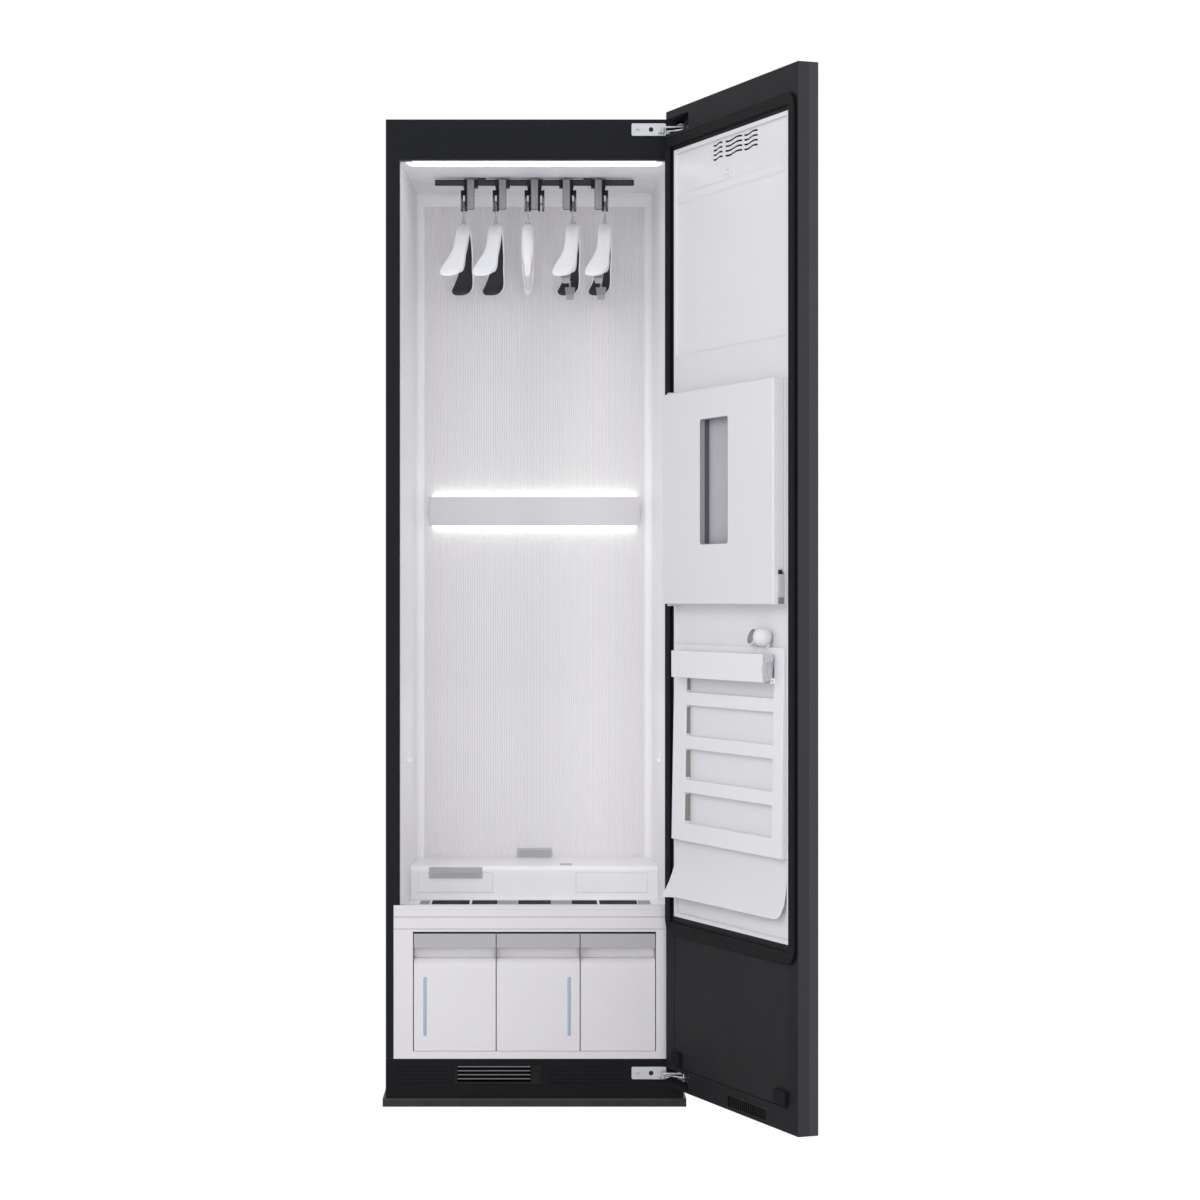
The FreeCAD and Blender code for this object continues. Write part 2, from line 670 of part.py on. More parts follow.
def hanger_rail():
    """Rail, the two stems through the ceiling and the carriage with the yoke slot."""
    y = (RAIL_BACK - RAIL_SIZE / 2, RAIL_BACK + RAIL_SIZE / 2)
    half = RAIL_LENGTH / 2
    rail = box((-half, half), y, (RAIL_BOTTOM, RAIL_TOP))
    ends = [e for e in rail.Edges if abs(e.tangentAt(e.FirstParameter).x) > 0.9]
    rail = rail.makeChamfer(2.0, ends)
    stems = [
        box((x - STEM_WIDTH / 2, x + STEM_WIDTH / 2), y, (RAIL_TOP - 3, SLIDE_LEVEL + 1))
        for x in (-STEM_PLACE, STEM_PLACE)
    ]
    reach = STEM_PLACE + 45
    top = SLIDE_LEVEL + CARRIAGE_PLATE
    plate = box((-reach, reach), (RAIL_BACK - 30, RAIL_BACK + 20), (SLIDE_LEVEL, top))
    slot_x = YOKE_PIN + YOKE_PLAY
    slot_y = (RAIL_BACK - SHAKE - YOKE_PIN - 2, RAIL_BACK + YOKE_PIN + 2)
    slot = box((-slot_x, slot_x), slot_y, (SLIDE_LEVEL - 1, top + 1))
    return cut(join([rail, plate] + stems), slot)


def shaker_crank():
    """Crank disc with its pin in the yoke slot and its shaft up into the gear motor."""
    disc = cylinder(SHAKE + YOKE_PIN + 3, (0, RAIL_BACK, CRANK_LEVEL), 3)
    pin = cylinder(YOKE_PIN, (0, RAIL_BACK - SHAKE, SLIDE_LEVEL + CLEAR), CARRIAGE_PLATE + CLEAR)
    shaft = cylinder(5, (0, RAIL_BACK, CRANK_LEVEL + 3), 14)
    return join([disc, pin, shaft])


def shaker_motor():
    """Gear motor on a bridge over the carriage."""
    level = CRANK_LEVEL + 3 + CLEAR
    reach = STEM_PLACE + 70
    bridge = box((-reach, reach), (RAIL_BACK - 22, RAIL_BACK + 14), (level, level + 3))
    legs = [
        box((x, x + 6), (RAIL_BACK - 40, RAIL_BACK + 30), (CEILING + LINER_WALL, level + 3))
        for x in (-reach - 6, reach)
    ]
    gearbox = box((-30, 30), (RAIL_BACK - 22, RAIL_BACK + 50), (level + 3, level + 27))
    motor = cylinder(19, (0, RAIL_BACK + 22, level + 27), HEIGHT - SHEET - 4 - level - 27)
    bore = cylinder(5 + RUNNING, (0, RAIL_BACK, level - 1), 16)
    return cut(join([bridge, gearbox, motor] + legs), bore)


def hanger_places():
    """Hook X, holder X and the side on which the hook hangs, for each hanger."""
    sides = (-1, -1, -1, 1, 1)
    tabs = [HANGER_PITCH * (i - 2) for i in range(5)]
    return [(tab + side * HOOK_OFFSET, tab, side) for tab, side in zip(tabs, sides)]


def hook_fork(tab, side):
    """Two cheeks and the pin that carries a hanger's eye."""
    low = HOOK_PIN_HEIGHT - 13
    high = RAIL_BOTTOM - 8
    y = (RAIL_BACK - 7, RAIL_BACK + 7)
    inner = sorted((tab + side * 5, tab + side * 8))
    outer = sorted((tab + side * 19, tab + side * 21.5))
    bridge = sorted((tab + side * 5, tab + side * 21.5))
    pin_span = sorted((tab + side * 6, tab + side * 20))
    return [
        box(inner, y, (low, RAIL_BOTTOM)),
        box(outer, y, (low, high)),
        box(bridge, y, (high - 12, high)),
        cylinder(HOOK_PIN, (pin_span[0], RAIL_BACK, HOOK_PIN_HEIGHT), pin_span[1] - pin_span[0], X_AXIS),
    ]


def hanger_holders():
    """Five clips on the rail, each with a front tab and a fork; the middle one has a fork on both sides."""
    holders = []
    for _, tab, side in hanger_places():
        y = (RAIL_BACK - 13, RAIL_BACK + 11)
        saddle = cut(
            box((tab - 15, tab + 15), y, (RAIL_BOTTOM - 5, RAIL_TOP)),
            box(
                (tab - 16, tab + 16),
                (RAIL_BACK - RAIL_SIZE / 2, RAIL_BACK + RAIL_SIZE / 2),
                (RAIL_BOTTOM, RAIL_TOP + 1),
            ),
        )
        tab_z = (RAIL_BOTTOM - HOLDER_DROP, RAIL_TOP)
        front = box((tab - TAB_WIDTH / 2, tab + TAB_WIDTH / 2), (y[0] - 4, y[0]), tab_z)
        corners = [e for e in front.Edges if abs(e.tangentAt(e.FirstParameter).y) > 0.9]
        front = front.makeChamfer(2.5, corners)
        core = box((tab - 5, tab + 5), (y[0], RAIL_BACK + 7), (tab_z[0] + 4, RAIL_BOTTOM))
        shapes = [saddle, front, core] + hook_fork(tab, side)
        if tab == 0:
            shapes += hook_fork(tab, -side)
        holders.append(join(shapes))
    return Part.makeCompound(holders)


def arch_outline(half, skirt):
    """Outer (x, z) outline of a hanger arm: an arch with two skirts, its crown at zero."""
    crown = 0.6 * half
    shoulder = -5.0
    return [(-half, -skirt), (-half, shoulder), (-crown, 0), (crown, 0), (half, shoulder), (half, -skirt)]


def section(outline, place):
    """Closed wire of an (x, z) outline at a place."""
    return Part.makePolygon([place + V(dx, 0, dz) for dx, dz in outline + outline[:1]])


def smooth_share(value, low, high):
    """Share from 0 to 1 that eases in and out between two values."""
    share = min(max((value - low) / (high - low), 0.0), 1.0)
    return share * share * (3 - 2 * share)


def hanger(hook_x, bow, yaw, widths, with_clips):
    """Hollow hanger with its hook eye; the arms run front to back, fall and swell to closed, bowed tips."""
    reach = HANGER_REACH - HANGER_WALL

    def place(t):
        x = hook_x - bow * abs(t) ** 4.5 + math.tan(math.radians(yaw)) * reach * t
        return V(x, RAIL_BACK + reach * t, HANGER_TOP - HANGER_DROP * abs(t) ** 1.35)

    def half_width(t):
        swell = smooth_share(abs(t), 0.6, 0.95)
        rounding = smooth_share(abs(t), 0.9, 1.1)
        return (widths[0] + (widths[1] - widths[0]) * swell) * (1 - 0.5 * rounding) / 2

    def skirt(t):
        return HANGER_SKIRT + (TIP_SKIRT - HANGER_SKIRT) * abs(t) ** 3

    wires = []
    for t in (-1.0, -0.94, -0.8, -0.62, -0.4, -0.12, 0.12, 0.4, 0.62, 0.8, 0.94, 1.0):
        outer = arch_outline(half_width(t), skirt(t))
        inner = arch_outline(half_width(t) - HANGER_WALL, skirt(t) - HANGER_WALL)
        lowered = [(dx, dz - HANGER_WALL) for dx, dz in inner]
        wires.append(section(outer + lowered[::-1], place(t)))
    noses = []
    for t in (-1.0, 1.0):
        end = Part.Face(section(arch_outline(half_width(t), skirt(t)), place(t)))
        noses.append(end.extrude(V(0, HANGER_WALL * t, 0)))
    shell = Part.makeLoft(wires, True, True)
    eye_z = HOOK_PIN_HEIGHT - CLEAR
    eye = cut(
        box((hook_x - 1.6, hook_x + 1.6), (RAIL_BACK - 7, RAIL_BACK + 7), (eye_z - 8, eye_z + 7)),
        cylinder(HOOK_PIN + 2 * CLEAR, (hook_x - 3, RAIL_BACK, eye_z), 6, X_AXIS),
    )
    crown = place(0.12).z
    stem = box((hook_x - 1.6, hook_x + 1.6), (RAIL_BACK - 1.6, RAIL_BACK + 1.6), (crown, eye_z - 7))
    foot = box((hook_x - 6, hook_x + 6), (RAIL_BACK - 6, RAIL_BACK + 6), (crown - 1, crown + 8))
    tapered = [e for e in foot.Edges if e.BoundBox.ZMin > crown + 7]
    shapes = [shell, eye, stem, foot.makeChamfer(3.5, tapered)] + noses
    if with_clips:
        top_half, low_half, height = CLIP_SIZE[0] / 2, CLIP_SIZE[1] / 2, CLIP_SIZE[2]
        clip = [(-top_half, 0), (top_half, 0), (low_half, -height), (-low_half, -height)]
        for t in (-0.86, 0.86):
            under = place(t) - V(0, 4, skirt(t) + 4)
            shapes.append(Part.Face(section(clip, under)).extrude(V(0, 8, 0)))
            post = (place(t).z - skirt(t) - 6, place(t).z - HANGER_WALL / 2)
            shapes.append(box((under.x - 3, under.x + 3), (under.y + 1, under.y + 7), post))
    return fused(shapes)


# ---- containers ----


def tank_spans():
    """Left and right side of each container."""
    spans = []
    left = TANK_LEFT
    for width in TANK_WIDTHS:
        spans.append((left, left + width))
        left += width + TANK_GAP
    return spans


def container(span):
    """Open container whose face has a shoulder and a finger grip under the lid's band."""
    bottom = BAY_BOTTOM + CLEAR
    rim = BAY_TOP - 9
    grip_top = BAY_TOP - 4 - BAND_HEIGHT
    grip_bottom = grip_top - GRIP_HEIGHT
    start = V(span[0], TANK_FACE, bottom)
    low = V(span[0], TANK_FACE, grip_bottom - SHOULDER)
    mid = V(span[0], TANK_FACE + 3.2, grip_bottom - SHOULDER * 0.4)
    high = V(span[0], TANK_FACE + 11, grip_bottom)
    rest = [
        V(span[0], TANK_FACE + GRIP_DEPTH, grip_bottom),
        V(span[0], TANK_FACE + GRIP_DEPTH, grip_top),
        V(span[0], TANK_FACE + 5, grip_top),
        V(span[0], TANK_FACE + 5, rim),
        V(span[0], TANK_LENGTH, rim),
        V(span[0], TANK_LENGTH, bottom),
    ]
    edges = [Part.LineSegment(start, low).toShape(), Part.Arc(low, mid, high).toShape()]
    loop = [high] + rest + [start]
    edges += [Part.LineSegment(a, b).toShape() for a, b in zip(loop, loop[1:])]
    body = Part.Face(Part.Wire(edges)).extrude(V(span[1] - span[0], 0, 0))
    inner_x = (span[0] + TANK_WALL, span[1] - TANK_WALL)
    levels = (
        (TANK_FACE, bottom + TANK_WALL, grip_bottom - SHOULDER),
        (TANK_FACE + 11, grip_bottom - SHOULDER - 1, grip_bottom - TANK_WALL),
        (TANK_FACE + GRIP_DEPTH, grip_bottom - TANK_WALL - 1, grip_top + TANK_WALL),
        (TANK_FACE + 5, grip_top + TANK_WALL - 1, rim + 1),
    )
    rooms = [
        box(inner_x, (face + TANK_WALL, TANK_LENGTH - TANK_WALL), (low_z, high_z))
        for face, low_z, high_z in levels
    ]
    return cut(body, *rooms)


def container_lid(span):
    """Lid whose front apron is the grey band over the grip."""
    rim = BAY_TOP - 9
    top = box((span[0] + 1, span[1] - 1), (TANK_FACE + 5, TANK_LENGTH - 1), (rim, rim + 3))
    plug_x = (span[0] + TANK_WALL + CLEAR, span[1] - TANK_WALL - CLEAR)
    plug_y = (TANK_FACE + 5 + TANK_WALL + CLEAR, TANK_LENGTH - TANK_WALL - CLEAR)
    plug = cut(
        box(plug_x, plug_y, (rim - 4, rim)),
        box((plug_x[0] + 2, plug_x[1] - 2), (plug_y[0] + 2, plug_y[1] - 2), (rim - 5, rim)),
    )
    apron = box((span[0], span[1]), (TANK_FACE, TANK_FACE + 5), (BAY_TOP - 4 - BAND_HEIGHT, BAY_TOP - 4))
    return join([top, plug, apron])


# ---- machine space ----


def compressor():
    """Domed hermetic compressor on its foot plate and four grommets."""
    x = COMPRESSOR_X
    y = DEPTH - COMPRESSOR_BACK
    radius = COMPRESSOR_RADIUS
    plate_z = PLINTH_FLOOR + 12
    can_z = plate_z + 4
    rim = COMPRESSOR_HEIGHT
    dome = COMPRESSOR_DOME
    shoulder = (0.86 * radius, rim + 0.55 * dome)
    crown = (0.45 * radius, rim + 0.93 * dome)
    top = (0.2 * radius, rim + dome)
    can = turned([(radius, 0), (radius, rim), shoulder, crown, top], V(x, y, can_z))
    plate = box((x - radius, x + radius), (y - radius, y + radius), (plate_z, can_z))
    inset = radius - 12
    corners = [(x + dx, y + dy) for dx in (-inset, inset) for dy in (-inset, inset)]
    grommets = [box((cx - 8, cx + 8), (cy - 8, cy + 8), (PLINTH_FLOOR, plate_z)) for cx, cy in corners]
    room = cylinder(radius - 14, (x, y, can_z + 4), rim - 8)
    return cut(join([can, plate] + grommets), room)


def heat_exchangers():
    """Evaporator and condenser, each a finned block between tube plates with return bends."""
    coils = []
    x = COIL_X
    for back in COIL_BACKS:
        y = (DEPTH - back, DEPTH - back + COIL_DEPTH)
        core = box(x, y, (PLINTH_FLOOR, COIL_TOP))
        starts = steps(x[0] + 4, 8, x[1] - 8)
        gaps = [box((start, start + 5), (y[0] - 1, y[1] + 1), (12, COIL_TOP - 8)) for start in starts]
        plate_y = (y[0] - 4, y[1] + 4)
        plates = [box((end, end + 2), plate_y, (PLINTH_FLOOR, COIL_TOP + 5)) for end in (x[0] - 2, x[1])]
        bends = []
        middle = (y[0] + y[1]) / 2
        end = x[1] + 2
        for z in steps(40, 50, 190):
            bend = box((end, end + 16), (middle - 4, middle + 4), (z - 16, z + 16))
            corners = [e for e in bend.Edges if e.BoundBox.XMin > end + 15 and e.BoundBox.ZLength < 1]
            bend = bend.makeChamfer(5.0, [e for e in corners if e.BoundBox.YLength > 1])
            bends.append(cut(bend, box((end - 1, end + 8), (middle - 5, middle + 5), (z - 8, z + 8))))
        coils.append(join([cut(core, *gaps)] + plates + bends))
    return Part.makeCompound(coils)


def blower_housing():
    """Scroll housing on feet, open at its inlet, with an outlet duct up to the chamber floor."""
    x, z = BLOWER_X, BLOWER_Z
    y = (BLOWER_FRONT, BLOWER_FRONT + BLOWER_DEPTH)
    case = cylinder(SCROLL_RADIUS, (x, y[0], z), BLOWER_DEPTH, Y_AXIS)
    room_x, room_y = duct_room()
    duct_x = (room_x[0] - DUCT_WALL, room_x[1] + DUCT_WALL)
    duct = box(duct_x, y, (z, FLOOR_TOP - LINER_WALL))
    foot = box((x - 50, x + 50), y, (PLINTH_FLOOR, z - 58))
    motor = cylinder(28, (x, y[1], z), 46, Y_AXIS)
    room = cylinder(WHEEL_RADIUS + 12, (x, room_y[0], z), room_y[1] - room_y[0], Y_AXIS)
    passage = box(room_x, room_y, (z, FLOOR_TOP))
    inlet = cylinder(45, (x, y[0] - 1, z), DUCT_WALL + 2, Y_AXIS)
    bore = cylinder(WHEEL_SHAFT + RUNNING, (x, room_y[1] - 1, z), 24, Y_AXIS)
    return cut(join([case, duct, foot, motor]), room, passage, inlet, bore)


def blower_wheel():
    """Bladed wheel on a back disc, turned by its shaft."""
    start = BLOWER_FRONT + DUCT_WALL + 5
    x, z = BLOWER_X, BLOWER_Z
    disc = cylinder(WHEEL_RADIUS, (x, start + WHEEL_WIDTH, z), 3, Y_AXIS)
    ring = cut(
        cylinder(WHEEL_RADIUS, (x, start, z), 3, Y_AXIS),
        cylinder(WHEEL_RADIUS - 12, (x, start - 1, z), 5, Y_AXIS),
    )
    shaft_end = BLOWER_FRONT + BLOWER_DEPTH + 18
    shaft = cylinder(WHEEL_SHAFT, (x, start + WHEEL_WIDTH, z), shaft_end - start - WHEEL_WIDTH, Y_AXIS)
    blade_x = (x + WHEEL_RADIUS - 11, x + WHEEL_RADIUS - 1)
    blade = box(blade_x, (start + 1, start + WHEEL_WIDTH + 1), (z - 0.8, z + 0.8))
    blades = []
    for i in range(BLADE_COUNT):
        turned_blade = blade.copy()
        turned_blade.rotate(V(x, start, z), Y_AXIS, 360 / BLADE_COUNT * i)
        blades.append(turned_blade)
    return join([disc, ring, shaft] + blades)


def steam_generator():
    """Boiler tank on the bay's back wall with its outlet pipe into the housing above."""
    width, depth, height = BOILER_SIZE
    x = (STEAM_PIPE_X - width / 2, STEAM_PIPE_X + width / 2)
    y = (BAY_DEPTH + BAY_WALL, BAY_DEPTH + BAY_WALL + depth)
    z = (BOILER_BOTTOM, BOILER_BOTTOM + height)
    tank = box(x, y, z)
    upright = [e for e in tank.Edges if abs(e.tangentAt(e.FirstParameter).z) > 0.9]
    tank = tank.makeChamfer(12, [e for e in upright if e.BoundBox.YMin > y[1] - 1])
    water = box((x[0] + 8, x[1] - 8), (y[0] + 8, y[1] - 14), (z[0] + 8, z[1] - 8))
    outlet = z[1] - 4
    top = FLOOR_TOP + 25
    pipe = cylinder(STEAM_PIPE_RADIUS, (STEAM_PIPE.x, STEAM_PIPE.y, outlet), top - outlet)
    bore = cylinder(STEAM_PIPE_RADIUS - 2, (STEAM_PIPE.x, STEAM_PIPE.y, z[1] - 15), top + 20 - z[1])
    heater = box((x[1], x[1] + 22), (STEAM_PIPE.y - 12, STEAM_PIPE.y + 12), (z[0] + 13, z[0] + 37))
    return cut(join([tank, pipe, heater]), water, bore)


def pumps():
    """Supply pump and drain pump on the bay's back wall."""
    units = []
    wall = BAY_DEPTH + BAY_WALL
    for x in PUMP_PLACES:
        motor = cylinder(PUMP_RADIUS, (x, wall, PUMP_Z), 40, Y_AXIS)
        head = box((x - 20, x + 20), (wall, wall + 21), (PUMP_Z - 40, PUMP_Z - 15))
        spout = box((x - 5, x + 5), (wall + 7, wall + 17), (PUMP_Z - 55, PUMP_Z - 39))
        units.append(join([motor, head, spout]))
    return Part.makeCompound(units)


def control_box():
    """Electronics box under the bay."""
    top = BAY_BOTTOM - BAY_WALL - 8
    wall = 3
    right = HALF - CONTROL_INSET
    x = (right - CONTROL_WIDTH, right)
    y = (CONTROL_FRONT, CONTROL_FRONT + CONTROL_LENGTH)
    shell = box(x, y, (PLINTH_FLOOR, top))
    room = box((x[0] + wall, x[1] - wall), (y[0] + wall, y[1] - wall), (PLINTH_FLOOR + wall, top - wall))
    places = steps(x[0] + 20, 14, x[1] - 25)
    vents = [box((vx, vx + 5), (y[0] + 20, y[1] - 20), (top - wall - 1, top + 1)) for vx in places]
    return cut(shell, room, *vents)


# ---- hinges ----

def polar(reach, degrees):
    """Point at a reach and angle from the door's hinge line."""
    angle = math.radians(degrees)
    return PIVOT + V(reach * math.cos(angle), reach * math.sin(angle), 0)


def link_geometry(name):
    """Fixed pin, door pin with the door shut, turn of the link and the play at half travel.

    The fixed pin lies on the line that halves the door's turn, so that the link meets the door's pin both
    shut and open.
    """
    door_pin = polar(LINK_REACH, LINK_ANGLES[name])
    fixed_pin = polar(LINK_ARM, LINK_ANGLES[name] + DOOR_OPEN / 2 + 180)
    length = (door_pin - fixed_pin).Length
    chord = LINK_REACH * math.sin(math.radians(DOOR_OPEN / 2))
    turn = 2 * math.degrees(math.asin(chord / length))
    play = LINK_ARM + LINK_REACH - length
    return fixed_pin, door_pin, turn, play


def stadium(start, end, width, z):
    """Flat bar with round ends between two points."""
    along = end - start
    side = V(-along.y, along.x, 0).normalize() * (width / 2)
    corners = [start + side, end + side, end - side, start - side]
    bar = prism_z([(c.x, c.y) for c in corners], z)
    height = z[1] - z[0]
    rounds = [Part.makeCylinder(width / 2, height, V(p.x, p.y, z[0])) for p in (start, end)]
    return join([bar] + rounds)


def hinge_plates():
    """Plate on the case with an ear that carries the two fixed link pins, at the top and bottom."""
    hinges = []
    plate_x = (HALF - HINGE_PLATE_INSETS[0], HALF - HINGE_PLATE_INSETS[1])
    reach = HINGE_PLATE_HEIGHT / 2
    for z0 in HINGE_HEIGHTS:
        plate = box(plate_x, (-HINGE_PLATE, 0), (z0 - reach, z0 + reach))
        corners = [e for e in plate.Edges if abs(e.tangentAt(e.FirstParameter).y) > 0.9]
        ear_z = (z0 + EAR_BOTTOM, z0 + EAR_BOTTOM + 3)
        shapes = [plate.makeChamfer(2.0, corners)]
        root_point = V(HALF - HINGE_ROOT_INSET, -LINK_WIDTH / 2, 0)
        for name in LINK_ANGLES:
            fixed, _, _, _ = link_geometry(name)
            shapes.append(stadium(root_point, fixed, LINK_WIDTH, ear_z))
            top = z0 + LINK_LEVELS[name] + LINK_THICKNESS
            shapes.append(cylinder(LINK_PIN, (fixed.x, fixed.y, ear_z[0]), top - ear_z[0]))
        hinges.append(join(shapes))
    return Part.makeCompound(hinges)


def hinge_link(name):
    """Link of both hinges, open; link a's door pin points down and link b's points up."""
    fixed, door_pin, turn, _ = link_geometry(name)
    links = []
    for z0 in HINGE_HEIGHTS:
        z = (z0 + LINK_LEVELS[name], z0 + LINK_LEVELS[name] + LINK_THICKNESS)
        bar = stadium(fixed, door_pin, LINK_WIDTH, z)
        low = z[0] - LINK_THICKNESS - 1 if name == "a" else z[0]
        pin = cylinder(LINK_PIN, (door_pin.x, door_pin.y, low), 2 * LINK_THICKNESS + 1)
        bore = cylinder(LINK_PIN + RUNNING, (fixed.x, fixed.y, z[0] - 1), LINK_THICKNESS + 2)
        link = cut(join([bar, pin]), bore)
        link.rotate(fixed, Z_AXIS, turn)
        links.append(link)
    return Part.makeCompound(links)


def door_hinge_brackets():
    """Bracket in the door at each hinge: a back plate and two shelves slotted for the link pins."""
    brackets = []
    y = (DOOR_OUTER + SHEET, DOOR_OUTER + SHEET + 2)
    x = (PIVOT.x - BRACKET_REACH, DOOR_X - 2)
    for z0 in HINGE_HEIGHTS:
        back = box(x, y, (z0 - HINGE_HALF + 1, z0 + HINGE_HALF - 1))
        shapes = [back]
        slots = []
        under_a = z0 + LINK_LEVELS["a"] - CLEAR
        over_b = z0 + LINK_LEVELS["b"] + LINK_THICKNESS + CLEAR
        shelf_z = {"a": (under_a - 3, under_a), "b": (over_b, over_b + 3)}
        for name, z in shelf_z.items():
            _, door_pin, _, play = link_geometry(name)
            shapes.append(box(x, (y[0], PIVOT.y - 2.6), z))
            inward = (PIVOT - door_pin).normalize() * (play + CLEAR)
            slot_width = 2 * (LINK_PIN + 4 * CLEAR)
            slots.append(stadium(door_pin, door_pin + inward, slot_width, (z[0] - 1, z[1] + 1)))
        brackets.append(cut(join(shapes), *slots))
    return swing(Part.makeCompound(brackets))


# ---- door ----


def hinge_notches():
    """Room in the door for the links, open towards the case and at the hinge side."""
    x = (DOOR_X - NOTCH_LENGTH, DOOR_X + 1)
    y = (DOOR_OUTER + SHEET, DOOR_INNER + 1)
    return [box(x, y, (z - HINGE_HALF, z + HINGE_HALF)) for z in HINGE_HEIGHTS]


def door_front_panel():
    """Folded outer sheet of the door."""
    z = (DOOR_BOTTOM, DOOR_TOP)
    outer = box((-DOOR_X, DOOR_X), (DOOR_OUTER, TRAY_BACK), z)
    room = box(
        (-DOOR_X + SHEET, DOOR_X - SHEET), (DOOR_OUTER + SHEET, TRAY_BACK + 1), (z[0] + SHEET, z[1] - SHEET)
    )
    return swing(cut(outer, room, *hinge_notches()))


def door_edge_frame():
    """Frame of the door's inner side, round the liner and the lower panel."""
    y = (TRAY_BACK, DOOR_INNER)
    plate = box((-DOOR_X, DOOR_X), y, (DOOR_BOTTOM, DOOR_TOP))
    opening = box((-LINER_X, LINER_X), (y[0] - 1, y[1] + 1), LINER_Z)
    lower = box((-LINER_X, LINER_X), (y[0] - 1, y[1] + 1), LOWER_PANEL_Z)
    recess_x = (GRILLE_X[0] - CLEAR, GRILLE_X[1] + CLEAR)
    recess_z = (GRILLE_Z[0] - CLEAR, GRILLE_Z[1] + CLEAR)
    recess = box(recess_x, (y[1] - GRILLE_DEPTH, y[1] + 1), recess_z)
    return swing(cut(plate, opening, lower, recess, *hinge_notches()))


def door_grille():
    """Slatted air grille in the bottom border."""
    y = (DOOR_INNER - GRILLE_DEPTH, DOOR_INNER - 0.5)
    frame = cut(
        box(GRILLE_X, y, GRILLE_Z),
        box((GRILLE_X[0] + 3, GRILLE_X[1] - 3), (y[0] + 2, y[1] + 1), (GRILLE_Z[0] + 3, GRILLE_Z[1] - 3)),
    )
    slats = [
        box((x, x + 2.5), (y[0] + 1, y[1] - 1), (GRILLE_Z[0] + 2, GRILLE_Z[1] - 2))
        for x in steps(GRILLE_X[0] + 8, 8.5, GRILLE_X[1] - 8)
    ]
    return swing(join([frame] + slats))


def door_lower_panel():
    """Flat inner panel below the liner."""
    gap = CLEAR
    x = (-LINER_X + gap, LINER_X - gap)
    z = (LOWER_PANEL_Z[0] + gap, LOWER_PANEL_Z[1] - gap)
    return swing(box(x, (DOOR_INNER - 4, DOOR_INNER - 1.5), z))


def door_bumpers():
    """Rubber stops at the bottom corners of the lower panel."""
    y = (DOOR_INNER - 1.5, -TANK_FACE - CLEAR)
    edge = LINER_X - BUMPER_INSET
    spans = ((edge - BUMPER_SHORT, edge), (-edge, -edge + BUMPER_LONG))
    return swing(Part.makeCompound([upright_slab(x, y, BUMPER_Z, 3) for x in spans]))


def vent_slots():
    """Three groups of waved air slots near the liner's top."""
    slots = []
    y = LINER_BACK - 1
    for x, width in VENT_GROUPS:
        for row in range(VENT_ROWS):
            z = LINER_Z[1] - VENT_DROP + VENT_ROW_PITCH * row
            points = []
            for i in range(7):
                at = x - width / 2 + width * i / 6
                points.append((at, z + VENT_WAVE * math.sin(math.pi * i / 3)))
            lower = [V(px, y, pz) for px, pz in points]
            upper = [V(px, y, pz + VENT_HEIGHT) for px, pz in reversed(points)]
            wire = Part.makePolygon(lower + upper + lower[:1])
            slots.append(Part.Face(wire).extrude(V(0, LINER_WALL + 2, 0)))
    return slots


def door_liner():
    """Dished inner liner with its rim, a raised step and the air slots."""
    gap = CLEAR
    x = (-LINER_X + gap, LINER_X - gap)
    z = (LINER_Z[0] + gap, LINER_Z[1] - gap)
    block = box(x, (TRAY_BACK, DOOR_INNER), z)
    inner_x = (x[0] + LINER_RIM, x[1] - LINER_RIM)
    inner_z = (z[0] + LINER_RIM, z[1] - LINER_RIM)
    dish = box(inner_x, (LINER_FACE, DOOR_INNER + 1), inner_z)
    hollow = box(inner_x, (TRAY_BACK - 1, LINER_BACK), inner_z)
    step_top = LINER_Z[1] - STEP_DROP
    step_low = step_top - STEP_HEIGHT
    proud = LINER_FACE + STEP_PROUD
    foot = [(LINER_FACE, step_low), (proud, step_low + 5)]
    head = [(proud, step_top - 5), (LINER_FACE, step_top)]
    step = prism_x(foot + head, inner_x)
    return swing(cut(join([cut(block, dish, hollow), step]), *vent_slots()))


def door_gasket():
    """Bellows gasket on the edge frame, with a magnet bulb."""
    x = GASKET_OUTER
    z = (LINER_Z[0] - GASKET_MARGINS[0], LINER_Z[1] + GASKET_MARGINS[1])
    base = cut(
        box((-x, x), (DOOR_INNER, DOOR_INNER + GASKET_BASE), z),
        box(
            (-x + GASKET_WIDTH, x - GASKET_WIDTH),
            (DOOR_INNER - 1, 0),
            (z[0] + GASKET_WIDTH, z[1] - GASKET_WIDTH),
        ),
    )
    inset = GASKET_BULB_INSET
    inner = GASKET_WIDTH - inset
    bulb_y = (DOOR_INNER + GASKET_BASE, -TANK_FACE - CLEAR)
    bulb = cut(
        box((-x + inset, x - inset), bulb_y, (z[0] + inset, z[1] - inset)),
        box((-x + inner, x - inner), (DOOR_INNER - 1, 0), (z[0] + inner, z[1] - inner)),
    )
    return swing(join([base, bulb]))


def garment_hook():
    """Small hook under the liner's air slots."""
    x = GARMENT_HOOK_X
    low = LINER_Z[1] - GARMENT_HOOK_DROP
    plate = box((x - 7, x + 7), (LINER_FACE, LINER_FACE + 2.5), (low, low + 24))
    outline = [(2.5, 6), (13, 6), (16, 9), (16, 18), (13, 18), (13, 10), (2.5, 10)]
    hook = prism_x([(LINER_FACE + dy, low + dz) for dy, dz in outline], (x - 3, x + 3))
    return swing(join([plate, hook]))


